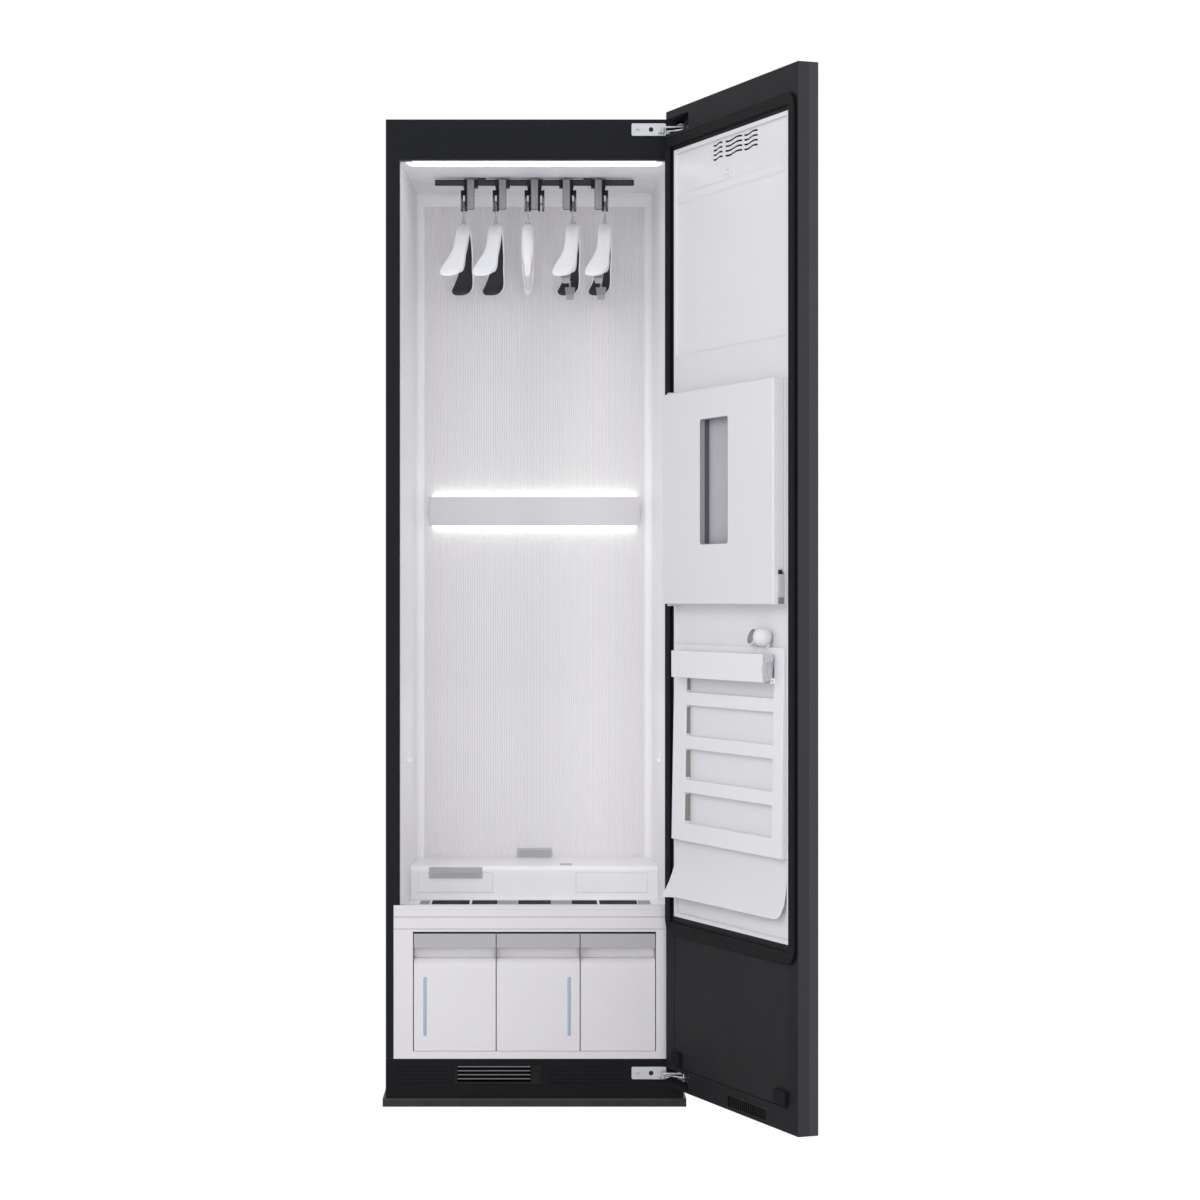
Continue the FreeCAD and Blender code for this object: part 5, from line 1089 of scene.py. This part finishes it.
@dataclass
class Hanger:
    """Moulded hanger: a hollow shell bent down at both ends, its collar, hook eye and clips.

    Attributes:
        number: number of the hanger.
        hook: X of the hook.
        bow: sideways bend of both tips.
        yaw: turn of the shell, in degrees.
        tip: width of a tip.
        width: width at the hook.
        clips: it carries trouser clips.
        top: Z of the ridge at the hook.
        reach: half length of the shell without its noses.
        drop: fall of the ridge to the tips.
        wall: thickness of the shell.
        crown: rise of the arch over its sides.
        back: Y of the hook.
        eye: Z of the hook's eye.
        stop: share of the reach at which the noses start.
        full: half length with its noses.
        ring: radius of the hook's eye and of its wire.
        grips: shares of the reach at which the clips hang.
    """

    number: int
    hook: float
    bow: float = 21.0
    yaw: float = 2.2
    tip: float = 44.0
    width: float = 28.0
    clips: bool = False
    top: float = 1797.0
    reach: float = 187.6
    drop: float = 120.0
    wall: float = 2.4
    crown: float = 6.0
    back: float = 250.0
    eye: float = 1837.7
    stop: float = 0.95
    full: float = 190.0
    ring: Pair = (5.9, 1.5)
    grips: Pair = (-0.86, 0.86)

    def middle(self, share: np.ndarray) -> np.ndarray:
        """Ridge line of the shell.

        x = hook - bow |t|^4.5 + reach t tan(yaw), y = back + reach t, z = top - drop |t|^1.35.

        Args:
            share: t from -1 at the front tip to 1 at the back tip.

        Returns:
            Points of the ridge.
        """
        size = np.abs(share)
        x = self.hook - self.bow * size**4.5 + math.tan(math.radians(self.yaw)) * self.reach * share
        return np.stack((x, self.back + self.reach * share, self.top - self.drop * size**1.35), axis=-1)

    def half_width(self, share: np.ndarray) -> np.ndarray:
        """Half width at t: it swells by s(|t|, 0.6, 0.95) to the tip's and narrows by half of s(|t|, 0.9, 1.1).

        Here s(v, a, b) is 3 u^2 - 2 u^3 with u = (v - a) / (b - a), kept between 0 and 1.

        Args:
            share: t along the shell.

        Returns:
            Half widths.
        """
        size = np.abs(share)
        swell = np.clip((size - 0.6) / 0.35, 0, 1)
        narrow = np.clip((size - 0.9) / 0.2, 0, 1)
        width = self.width + (self.tip - self.width) * swell**2 * (3 - 2 * swell)
        return width * (1 - 0.5 * narrow**2 * (3 - 2 * narrow)) / 2

    def add(self, skin: Skin, kind: str, finishes: Sequence[Finish], crease: float = 32.0) -> None:
        """Set a piece on this hanger's body; the shell stands for the CAD node.

        Args:
            skin: its surface.
            kind: what it is, for its name.
            finishes: materials by mark.
            crease: smallest angle that stays a sharp edge, in degrees.
        """
        body = f"hanger_{self.number}"
        name = f"hanger_{kind}_{self.number}"
        skin.piece(name, finishes, body, [body] if kind == "shell" else (), crease=crease)

    def shell(self) -> None:
        """Skin the shell and close its tips.

        A section is an arch (half |cos p|^0.6, crown (|sin p|^0.6 - 1)) with straight skirts, once outside and
        once drawn in by the wall. The skirts shorten by 4 u^2 close to the tips.
        """
        turn = np.linspace(-1, 1, 73)
        share = (np.sin(turn * np.pi / 2) * 0.4 + turn * 0.6) * self.stop
        half = self.half_width(share)
        skirt = 16.0 - 4.0 * np.abs(share) ** 3 - 4.0 * np.clip((np.abs(share) - 0.86) / 0.1, 0, 1) ** 2
        angle = np.linspace(np.pi, 0, 21)
        across = np.sign(np.cos(angle)) * np.abs(np.cos(angle)) ** 0.6
        rise = (np.abs(np.sin(angle)) ** 0.6 - 1) * self.crown
        across = np.concatenate(([-1.0], across, [1.0]))
        x_outer = half[:, None] * across
        z_outer = np.hstack((-skirt[:, None], np.broadcast_to(rise, (len(share), len(rise))), -skirt[:, None]))
        x_inner = ((half - self.wall)[:, None] * across)[:, ::-1]
        z_inner = z_outer[:, ::-1].copy()
        z_inner[:, 1:-1] -= self.wall
        x, z = np.hstack((x_outer, x_inner)), np.hstack((z_outer, z_inner))
        rings = np.stack((x, np.zeros_like(x), z), axis=-1) + self.middle(share)[:, None]
        inside = np.arange(x.shape[1]) >= len(across)
        skin = Skin().rings(rings, mark=inside * int(self.bow > 0))
        self.noses(skin)
        self.add(skin, "shell", [HANGER_WHITE, HANGER_DARK], 50)

    def noses(self, skin: Skin) -> None:
        """Close both tips with rounded noses.

        A section is a rounded box (|cos p|^0.5, |sin p|^0.5) whose foot is 12 below the ridge; towards the end it
        shrinks by (1 - d^2)^0.5, d from 0 to 0.9. The back nose is dark below and inside.

        Args:
            skin: surface that takes them.
        """
        step = np.linspace(0, 1, 12)
        angle = np.linspace(0, 2 * np.pi, 49)[:-1]
        box = np.stack((np.cos(angle), np.sin(angle)), axis=-1)
        box = np.sign(box) * np.abs(box) ** 0.5
        size = np.sqrt(1 - (0.9 * step) ** 2)
        for way in (-1, 1):
            share = way * (self.stop + (self.full / self.reach - self.stop) * step)
            half = self.half_width(share[:1]) * size
            middle = self.middle(share)
            rings = np.zeros((len(step), len(angle), 3))
            rings[..., 0] = middle[:, :1] + half[:, None] * box[:, 0]
            rings[..., 1] = middle[:, 1:2]
            rings[..., 2] = middle[:, 2:] - 5.0 + (5.2 * size[:, None]) * box[:, 1]
            dark = int(way > 0 and self.bow > 0)
            skin.rings(rings, mark=dark * (box[:, 1] < 0.1).astype(int), cap_mark=dark)

    def collar(self) -> None:
        """Clear collar on the crown: its radius falls from 6.2 to 1.9 as 1.9 + 4.3 (1 - h)^1.6."""
        height = np.linspace(0, 1, 14)
        side = np.column_stack((1.9 + 4.3 * (1 - height) ** 1.6, height * 20))
        profile = np.vstack(([[0, 0]], side, [[0, 20]]))
        rings = turned(profile, (self.hook, self.back, self.top - 2.5), (0, 0, 1))
        self.add(Skin().rings(rings, caps=False), "collar", [HANGER_CONE])

    def hook_eye(self) -> None:
        """Wire eye, a tube carried round a ring, with a stem down into the collar."""
        radius, wire = self.ring
        around = np.linspace(0, 2 * np.pi, 40, endpoint=False)[:, None]
        tube = np.linspace(0, 2 * np.pi, 12, endpoint=False)
        reach = radius + wire * np.cos(tube)
        ring = np.stack(np.broadcast_arrays(wire * np.sin(tube), np.cos(around) * reach, np.sin(around) * reach), -1)
        stem = np.array([(0.0, 0.0), (1.3, 0.0), (1.3, 30.5), (0.0, 31.0)])
        skin = Skin().grid(ring + (self.hook, self.back, self.eye), wrap_rows=True, wrap_columns=True)
        skin.rings(turned(stem, (self.hook, self.back, self.eye - 36.8), (0, 0, 1), 12), caps=False)
        self.add(skin, "eye", [HOOK_STEEL])

    def trouser_clips(self) -> None:
        """Clips under both tips: a neck, two tapering jaws with ribbed grips and a spring coil between them.

        A jaw's half width falls from 11 to 7 as 11 - 4 h^1.2; its grip is ribbed where h < 0.6.
        """
        level = np.linspace(0, 1, 33)
        thick = 1.5 + np.where(level < 0.6, 0.55 * (np.floor(level * 26) % 2), 0.0)
        half = 11.0 - 4.0 * level**1.2
        gap = 0.7 + 2.2 * np.clip(0.6 - level, 0, 1)
        outline = np.array([(-1, 0), (-1, 1), (1, 1), (1, 0)])
        neck = np.array([(0.0, 14.0), (2.6, 14.0), (2.6, -4.0), (0.0, -4.0)])
        coil = np.array([(0.0, -9.0), (2.2, -9.0), (2.2, 9.0), (0.0, 9.0)])
        skin = Skin()
        for share in self.grips:
            x, y, ridge = self.middle(np.array([share]))[0]
            top = ridge - 16.0 + 4.0 * abs(share) ** 3 - 4.0
            skin.rings(turned(neck, (x, y, top), (0, 0, 1), 12), caps=False)
            for way in (-1, 1):
                rings = np.zeros((len(level), 4, 3))
                rings[..., 0] = x + half[:, None] * outline[:, 0]
                rings[..., 1] = y + way * (gap[:, None] + thick[:, None] * outline[:, 1])
                rings[..., 2] = (top - 26 * level)[:, None]
                skin.rings(rings)
            skin.rings(turned(coil, (x, y, top - 9), (1, 0, 0), 16), caps=False)
        self.add(skin, "clips", [CLIP_GREY], 30)

    def build(self) -> None:
        """Make the whole hanger."""
        self.shell()
        self.collar()
        self.hook_eye()
        if self.clips:
            self.trouser_clips()


HANGERS = (
    Hanger(1, -147.0),
    Hanger(2, -80.5),
    Hanger(3, -14.0, bow=0.0, yaw=0.0, tip=15.0, width=26.0),
    Hanger(4, 80.5, clips=True),
    Hanger(5, 147.0, clips=True),
)
"""Two plain, one straight and seen end on, two with trouser clips."""


# ---- containers and machines ----


@dataclass
class Containers:
    """Two tanks and the lint drawer, with their lids and level windows.

    Attributes:
        windows: body, X middle of each level window.
        window: half width, underside and top of a window.
        face: Y of the windows' faces, 0.5 proud of the tanks'.
    """

    windows: tuple[tuple[Body, float], ...] = ((Body.WATER_TANK, -218.9), (Body.DRAIN_TANK, 69.4))
    window: Triple = (3.4, 140.6, 258.6)
    face: float = 0.5

    def build(self) -> None:
        """Refine the containers and set in the windows."""
        for body in (Body.WATER_TANK, Body.DRAIN_TANK, Body.LINT_DRAWER):
            refine(body, (body.value, TANK, 0.9), (f"{body.value}_lid", BAND, 0.5))
        half, low, high = self.window
        for body, x in self.windows:
            size = (half, (high - low) / 2, half - 0.3)
            rings = plate_rings((x, self.face, (low + high) / 2), *size, rounded_edge(1.5, 0.45))
            Skin().rings(rings).piece(f"{body.value}_window", [WINDOW], body)


@dataclass
class Machines:
    """Machine space under and behind the containers.

    Attributes:
        housing: rounding of the large housings' edges.
        small: rounding of the pumps' and the control box's edges.
    """

    housing: float = 0.8
    small: float = 0.6

    def build(self) -> None:
        """Dress the machines."""
        refine(
            Body.CABINET,
            ("compressor", COMPRESSOR, self.housing),
            ("blower_housing", MACHINE, self.housing),
            ("steam_generator", BOILER, self.housing),
            ("pumps", MACHINE, self.small),
            ("control_box", MACHINE_PALE, self.small),
        )
        dress(heat_exchangers=COIL, blower_wheel=WHEEL)


# ---- door ----


@dataclass
class Door:
    """Door shell, its dished liner, gasket, panel and fittings.

    Attributes:
        gasket: half width, underside and top of the gasket's outline.
        inner: Y of the door's inner face.
    """

    gasket: Triple = (290.0, 352.0, 1934.0)
    inner: float = -8.0

    def build(self) -> None:
        """Refine the door and make its gasket."""
        refine(
            Body.DOOR,
            # The panel's rounded edges take the painted edge highlight.
            ("door_front_panel", DOOR_EDGE, 0.8, CASE_EDGE_HIGHLIGHT),
            ("door_edge_frame", INNER_DARK, 0.8, DOOR_RETURN, FREE_END),
            ("door_lower_panel", PANEL_DARK, 0.5),
            ("door_grille", GRILLE_DARK, 0.3),
            ("door_bumpers", BUMPER, 0.8),
            ("door_liner", DOOR_LINER, 0.4),
            ("garment_hook", DOOR_LINER, 0.5),
        )
        self.seal()

    def seal(self) -> None:
        """Bellows gasket.

        Its section is inset = 12 + 11.8 sgn(cos a) |cos a|^0.6 and depth = 3.3 + 3.3 sgn(sin a) |sin a|^0.5, less
        two folds 1.3 deep across its face, carried round a rectangle with round corners.
        """
        half, low, high = self.gasket
        angle = np.linspace(0, 2 * np.pi, 44, endpoint=False)
        cosine, sine = np.cos(angle), np.sin(angle)
        inset = 12 + 11.8 * np.sign(cosine) * np.abs(cosine) ** 0.6
        depth = 3.3 + 3.3 * np.sign(sine) * np.abs(sine) ** 0.5
        fold = np.exp(-(((inset - 7.5) / 1.2) ** 2)) + np.exp(-(((inset - 16.5) / 1.2) ** 2))
        section = np.column_stack((inset, np.where(sine > 0, depth - 1.3 * fold, depth)))
        rings = plate_rings((0, self.inner, (low + high) / 2), half, (high - low) / 2, 30.0, section)
        skin = Skin().grid(rings, wrap_rows=True, wrap_columns=True)
        skin.piece("door_gasket_bellows", [GASKET], Body.DOOR, ["door_gasket"], crease=60, shut=True)


@dataclass
class TrouserPress:
    """Press board, hinged press plate and its latch.

    Attributes:
        window: X middle, Z middle, half width and half height of the plate's window.
        corner: corner radius of the window.
        skin_y: Y of the back and front of the plate's skin.
        board: Y of the press board's face.
        margin: how far the ribbed face reaches past the window.
        rib: height and pitch of its ribs.
        latch: X span, and Z of the latch's steps from its foot to its top.
        bend: Z above which the latch slopes out.
    """

    window: tuple[float, float, float, float] = (12.0, 1239.0, 63.5, 120.0)
    corner: float = 6.0
    skin_y: Pair = (8.0, 18.0)
    board: float = -3.3
    margin: float = 12.0
    rib: Pair = (0.4, 6.4)
    latch: tuple[Pair, tuple[float, ...]] = ((-251.9, -246.9), (1006.0, 1018.0, 1060.0, 1068.0))
    bend: float = 1056.0

    def build(self) -> None:
        """Refine the press, paint the shade on its window's walls and fit its ribbed face and latch."""
        refine(Body.DOOR, ("press_back_board", PRESS_BOARD, 0.5))
        refine(Body.PRESS, ("press_plate", PRESS_WHITE, 0.6))
        low, high = self.skin_y
        # A grey sleeve paints the shade on the window's walls, a dark one the shadow in the gap behind the plate.
        self.surround("press_window_wall_shade", PRESS_WALL_SHADE, (low + 0.15, high - 0.15), (-0.1, 1.0))
        self.surround("press_window_gap_shadow", PRESS_GAP_SHADOW, (self.board + 0.9, low), (-2.6, 0.0))
        self.ribbed_face()
        self.latch_lever()

    def surround(self, name: str, finish: Finish, span: Pair, wall: Pair) -> None:
        """Sleeve round the window that paints its shade: a wall carried round its rounded outline.

        Args:
            name: name of the piece.
            finish: its finish.
            span: Y of its back and front.
            wall: inset of the wall's two sides, negative outside the window.
        """
        x, z, *size = self.window
        (low, high), (outer, inner) = span, wall
        section = np.array([(outer, low), (outer, high), (inner, high), (inner, low)])
        rings = plate_rings((x, 0.0, z), *size, self.corner, section)
        skin = Skin().grid(rings, wrap_rows=True, wrap_columns=True)
        skin.piece(name, [finish], Body.PRESS, crease=30, shut=True)

    def ribbed_face(self) -> None:
        """Grey hard facing on the board behind the window, with upright ribs that rise as sin(2 pi x / pitch)."""
        x, z, half_width, half_height = self.window
        reach, height = half_width + self.margin, half_height + self.margin
        across = np.linspace(-reach, reach, 241)
        face = self.board + 1.6 + self.rib[0] * np.sin(2 * np.pi * across / self.rib[1])
        face[0] = face[-1] = self.board - 0.2
        close = [(x + reach, self.board - 0.4), (x - reach, self.board - 0.4)]
        outline = np.vstack((np.column_stack((x + across, face)), close))
        skin = Skin().rings(pushed(outline, (z - height, z + height), 2))
        skin.piece("press_ribbed_face", [PRESS_RIBBED], Body.DOOR, shut=True)

    def latch_lever(self) -> None:
        """Latch with a dark foot, a grey body and a dark cap; its inner side slopes in towards the top."""
        span, levels = self.latch
        skin = Skin()
        for mark, (low, high) in enumerate(zip(levels, levels[1:])):
            heights = np.array(sorted({low, high, *(v for v in (self.bend,) if low < v < high)}))
            inner = np.interp(heights, (levels[0], self.bend, levels[-1]), (-2.0, -2.0, 2.0))
            outline = np.vstack((np.column_stack((inner, heights)), [(8.0, high), (8.0, low)]))
            skin.rings(pushed(outline, span), mark=mark, cap_mark=mark)
        finishes = [LATCH_FOOT, LATCH_PALE, LATCH_DARK]
        skin.piece("press_latch_lever", finishes, Body.LATCH, ["press_latch"], bevel=0.5, shut=True)


@dataclass
class HemRack:
    """Leaning rack with its clamp, lever, two rests and the drip flap.

    Attributes:
        windows: Z of each window's lower edge.
        shaded_side: X span of the dark strips that paint the shade on the windows' side walls, and Y of their back.
        lean: Y of the strips' face at the top of the flap, and how far it leans back over how much height.
        ball: place of the ball rest.
        cup: place of the cupped rest.
        radii: radius of the ball, and outer and inner radius of the cup.
        reach: X span of the flap.
        top: Z at which the flap leaves the rack.
        tip: Y and Z of the flap's free edge.
        seat: Y of the flap's back at its top.
        sheet: thickness of the flap.
        corner: radius of the flap's cut corner.
    """

    windows: tuple[float, ...] = (577.0, 662.3, 747.6, 832.9)
    shaded_side: tuple[Pair, float] = ((191.0, 191.95), -13.8)
    lean: Triple = (-2.2, 7.0, 384.0)
    ball: Triple = (-173.5, 4.0, 945.0)
    cup: Triple = (-128.0, 3.0, 945.0)
    radii: Triple = (17.5, 17.0, 14.6)
    reach: Pair = (-243.5, 249.5)
    top: float = 542.0
    tip: Pair = (12.0, 430.0)
    seat: float = -13.5
    sheet: float = 2.0
    corner: float = 30.0

    def build(self) -> None:
        """Refine the rack, paint the shade on its windows' side walls and make its rests and flap."""
        refine(Body.DOOR, ("hem_rack", RACK_WHITE, 0.9))
        refine(Body.CLAMP, ("hem_clamp", RACK_WHITE, 0.9, CLAMP_END, FREE_END))
        refine(Body.LEVER, ("hem_lever", LEVER_GREY, 0.8))
        self.window_side_shades()
        self.rests()
        self.flap()

    def window_side_shades(self) -> None:
        """Dark strips on the hinge-side wall of each window that paint its shade, as deep as the leaning rack is
        there.
        """
        span, back = self.shaded_side
        start, fall, height = self.lean
        skin = Skin()
        for level in self.windows:
            low, high = level + 4.0, level + 56.0
            near, far = (start - fall * (z - self.top) / height for z in (low, high))
            # Each strip paints the shade on a window's side wall.
            skin.rings(pushed([(back, low), (near, low), (far, high), (back, high)], span))
        skin.piece("rack_window_side_shades", [WINDOW_SHADE], Body.DOOR, shut=True)

    def rests(self) -> None:
        """Ball rest and cupped rest.

        Both are turned: the ball as (r sin a, -r cos a) on a waisted stem, the cup as the same arc stopped at 100
        degrees, folded over its rim and carried back inside by the wall.
        """
        skin = Skin()
        arc = np.linspace(0, np.pi, 25)
        bowl = np.linspace(0, math.radians(100), 20)
        sphere, outside, inside = (
            radius * np.column_stack((np.sin(a), -np.cos(a))) for radius, a in zip(self.radii, (arc, bowl, bowl))
        )
        inside = inside[::-1]
        for place, axis, walls, waist in (
            (self.ball, (0, 0, 1), (sphere,), [(3.6, -17.0), (5.5, -12.0)]),
            (self.cup, (0.0, 0.954, 0.3), (np.vstack((outside, inside[:1])), inside), [(3.8, -16.0), (5.0, -12.0)]),
        ):
            # The cup's inner wall, mark 1, takes a grey that paints its shade.
            for mark, wall in enumerate(walls):
                skin.rings(turned(wall, place, axis, 40), mark=mark, caps=False)
            stem = np.array([(0.0, -21.0), (4.5, -21.0), *waist, (0.0, -11.0)])
            skin.rings(turned(stem, (place[0], -7.0, place[2]), (0, 0, 1), 20), caps=False)
        skin.piece("hem_rests", [PRESS_WHITE, CUP_SHADE], Body.DOOR, ["hem_knobs"], crease=50, shut=True)

    def flap(self) -> None:
        """Moulded silicone drip flap.

        It follows one arc from the rack to its free edge: y = seat + (R - R cos a) (0.5 + 0.5 s^0.8) and
        z = top - R sin a, with s from 0 at the free end to 1 at the hinge side. The lower corner at the hinge side
        curls further out as 9 s^2 v^3, and the other lower corner is cut to a round.
        """
        flare = self.tip[0] - self.seat
        drop = self.top - self.tip[1]
        radius = (drop**2 + flare**2) / (2 * flare)
        across = np.linspace(0, 1, 61)[:, None]
        down = np.linspace(0, 1, 25)[None, :]
        from_end = across * (self.reach[1] - self.reach[0])
        near = np.clip(self.corner - from_end, 0, self.corner)
        missing = self.corner - np.sqrt(np.clip(self.corner**2 - near**2, 0, None))
        angle = down * (radius * math.asin(drop / radius) - missing) / radius
        curl = 9.0 * np.clip((across - 0.86) / 0.14, 0, 1) ** 2 * down**3
        ripple = 0.8 * np.sin(across * 9.0) * down**2
        x = np.broadcast_to(self.reach[0] + from_end, angle.shape)
        walls = []
        for reach in (radius, radius - self.sheet):
            y = self.seat + (radius - reach * np.cos(angle)) * (0.5 + 0.5 * across**0.8) + curl + ripple
            z = self.top - reach * np.sin(angle) - 0.4 * curl
            walls.append(np.stack((x, y, z), axis=-1))
        skin = Skin().rings(np.concatenate((walls[0], walls[1][:, ::-1]), axis=1))
        skin.piece("drip_flap_soft", [FLAP], Body.DOOR, ["drip_flap"], crease=45, shut=True)


@dataclass
class Hinges:
    """Crossing-link hinges at the top and bottom of the door.

    Attributes:
        levels: Z of both hinges.
        screws: X of the screws in a plate.
        head: radius of a screw head.
        seat: Y of the plate under the heads.
    """

    levels: Pair = (67.0, 1953.0)
    screws: Pair = (206.0, 233.0)
    head: float = 4.6
    seat: float = -3.1

    def build(self) -> None:
        """Refine the plates, links and brackets and make the screw heads."""
        refine(Body.CABINET, ("hinge_plates", HINGE_STEEL, 0.4))
        refine(Body.LINK_A, ("hinge_link_a", HINGE_STEEL, 0.3))
        refine(Body.LINK_B, ("hinge_link_b", HINGE_STEEL, 0.3))
        refine(Body.DOOR, ("door_hinge_brackets", HINGE_STEEL, 0.3))
        self.screw_heads()

    def screw_heads(self) -> None:
        """Domed heads with a cross recess.

        The height over a disc of radius R is 1.5 (1 - 0.5 (r / R)^2), less 1.3 where a point lies in the cross.
        """
        radius = np.linspace(0.02, 1, 22)[:, None] * self.head
        angle = np.linspace(0, 2 * np.pi, 48, endpoint=False)[None, :]
        across, up = radius * np.cos(angle), radius * np.sin(angle)
        slot = np.minimum(np.abs(across), np.abs(up))
        reach = np.maximum(np.abs(across), np.abs(up))
        inside = 1 / (1 + np.exp((slot - 0.55) * 9)) / (1 + np.exp((reach - 2.7) * 7))
        height = 1.5 * (1 - 0.5 * (radius / self.head) ** 2) - 1.3 * inside
        skin = Skin()
        for level in self.levels:
            for mark, x in enumerate(self.screws):
                dome = np.stack((x + across, self.seat - height, level + up), axis=-1)
                base = dome[-1:].copy()
                base[..., 1] = self.seat + 0.3
                skin.rings(np.concatenate((dome, base)), mark=mark, cap_mark=mark)
        skin.piece("hinge_screws", [HINGE_STEEL, SCREW_DARK], Body.CABINET, crease=50)


# ---- studio ----


@dataclass
class Lamp:
    """Soft area light that neither the camera nor a reflection shows.

    Attributes:
        name: its name.
        place: where it hangs.
        size: its two sides.
        power: its power in watts.
        turn: its rotation, or none to look at the middle of the cabinet.
    """

    name: str
    place: Triple
    size: Pair
    power: float
    turn: Triple | None = None

    def build(self) -> None:
        """Hang the lamp."""
        light = bpy.data.lights.new(self.name, "AREA")
        light.shape = "RECTANGLE"
        light.size, light.size_y = self.size
        light.energy = self.power
        made = bpy.data.objects.new(self.name, light)
        made.location = self.place
        x, y, z = np.array((0.0, 0.2, 1.0)) - self.place
        aim = (math.atan2(math.hypot(x, y), -z), 0.0, math.atan2(y, x) - math.pi / 2)
        made.rotation_euler = self.turn or aim
        made.visible_glossy = False
        made.visible_camera = False
        bpy.context.scene.collection.objects.link(made)


LAMPS = (
    Lamp("front_softbox", (-2.2, -4.2, 3.6), (2.6, 2.6), 60.0),
    Lamp("fill_softbox", (0.2, -5.4, 1.5), (2.6, 2.6), 85.0),
    Lamp("chamber_left", (-0.01, 0.22, 1.17), (1.3, 0.3), 0.33, (0.0, math.pi / 2, 0.0)),
    Lamp("chamber_right", (0.01, 0.22, 1.17), (1.3, 0.3), 0.24, (0.0, -math.pi / 2, 0.0)),
    Lamp("chamber_low", (0.0, 0.2, 0.85), (0.4, 0.2), 0.12, (0.0, 0.0, 0.0)),
    Lamp("right_softbox", (3.2, -2.6, 2.0), (2.0, 2.0), 22.0),
    Lamp("left_softbox", (-3.4, 0.5, 2.4), (2.4, 2.4), 24.0),
    Lamp("back_softbox", (0.9, 4.8, 2.6), (2.6, 2.6), 45.0),
)


@dataclass
class Studio:
    """Pale floor, soft light and the camera.

    Attributes:
        eye: camera place.
        lens: focal length in millimetres.
        shift: shift of the frame.
        ambient: colour and strength of the light from all round.
        floor_tone: colour of the floor.
        floor_glow: strength of the white that the camera sees on the floor, and its share.
    """

    eye: Triple = (0.0, -5.78, 1.0186)
    lens: float = 86.7
    shift: Pair = (0.0546, -0.0025)
    ambient: tuple[Triple, float] = ((0.97, 0.98, 1.0), 0.62)
    floor_tone: Triple = (0.86, 0.86, 0.87)
    floor_glow: Pair = (1.04, 0.93)

    def build(self) -> None:
        """Set the floor, world, lamps and camera."""
        self.floor()
        self.world()
        for lamp in LAMPS:
            lamp.build()
        self.camera()
        bpy.context.scene.view_settings.view_transform = "Standard"

    def floor(self) -> None:
        """Pale floor that shows white to the camera and keeps a soft shadow."""
        side = np.linspace(-9000, 9000, 3)
        x, y = np.meshgrid(side, side, indexing="ij")
        skin = Skin().grid(np.stack((x, y, np.full_like(x, -0.4)), axis=-1))
        mesh = bpy.data.meshes.new("studio_floor")
        mesh.from_pydata((skin.points[0] * MM).tolist(), [], skin.faces)
        made = bpy.data.objects.new("studio_floor", mesh)
        bpy.context.scene.collection.objects.link(made)
        material = bpy.data.materials.new("studio_floor_pale")
        material.use_nodes = True
        desk = Wiring(material.node_tree)
        nodes = desk.tree.nodes
        paint = {"Base Color": (*self.floor_tone, 1), "Roughness": 0.8, "Specular IOR Level": 0.1}
        shader = desk.fill(nodes["Principled BSDF"], paint)
        strength, share = self.floor_glow
        seen = desk.maths("MULTIPLY", desk.node("LightPath", {}).outputs["Is Camera Ray"], share)
        glow = desk.node("Emission", {"Strength": strength})
        desk.fill(nodes["Material Output"], {"Surface": desk.node("MixShader", {0: seen, 1: shader, 2: glow})})
        mesh.materials.append(material)

    def world(self) -> None:
        """Soft ambient light, with white shown to camera, glossy and transmission rays."""
        world = bpy.data.worlds.new("studio_world")
        world.use_nodes = True
        bpy.context.scene.world = world
        desk = Wiring(world.node_tree)
        tone, strength = self.ambient
        soft = desk.fill(desk.tree.nodes["Background"], {"Color": (*tone, 1), "Strength": strength})
        white = desk.node("Background", {"Color": (1, 1, 1, 1), "Strength": 1.0})
        ray = desk.node("LightPath", {}).outputs
        first = desk.maths("MAXIMUM", ray["Is Camera Ray"], ray["Is Glossy Ray"])
        seen = desk.maths("MAXIMUM", first, ray["Is Transmission Ray"])
        mix = desk.node("MixShader", {0: seen, 1: soft, 2: white})
        desk.fill(desk.tree.nodes["World Output"], {"Surface": mix})

    def camera(self) -> None:
        """Place the camera level, looking along +Y."""
        lens = bpy.data.cameras.new("front_camera")
        lens.lens = self.lens
        lens.sensor_width = 36.0
        lens.sensor_fit = "HORIZONTAL"
        lens.shift_x, lens.shift_y = self.shift
        lens.clip_end = 60.0
        made = bpy.data.objects.new("front_camera", lens)
        made.location = self.eye
        made.rotation_euler = (math.pi / 2, 0.0, 0.0)
        bpy.context.scene.collection.objects.link(made)
        bpy.context.scene.camera = made


def main() -> None:
    """Build every sub-assembly in order."""
    logging.basicConfig(level=logging.INFO, format="%(name)s %(message)s")
    for part in (CaseShell(), Chamber(), Lighting(), HangingRail(), *HANGERS, Containers()):
        part.build()
    for part in (Door(), TrouserPress(), HemRack(), Hinges(), Machines(), Studio()):
        part.build()


if __name__ == "__main__":
    main()
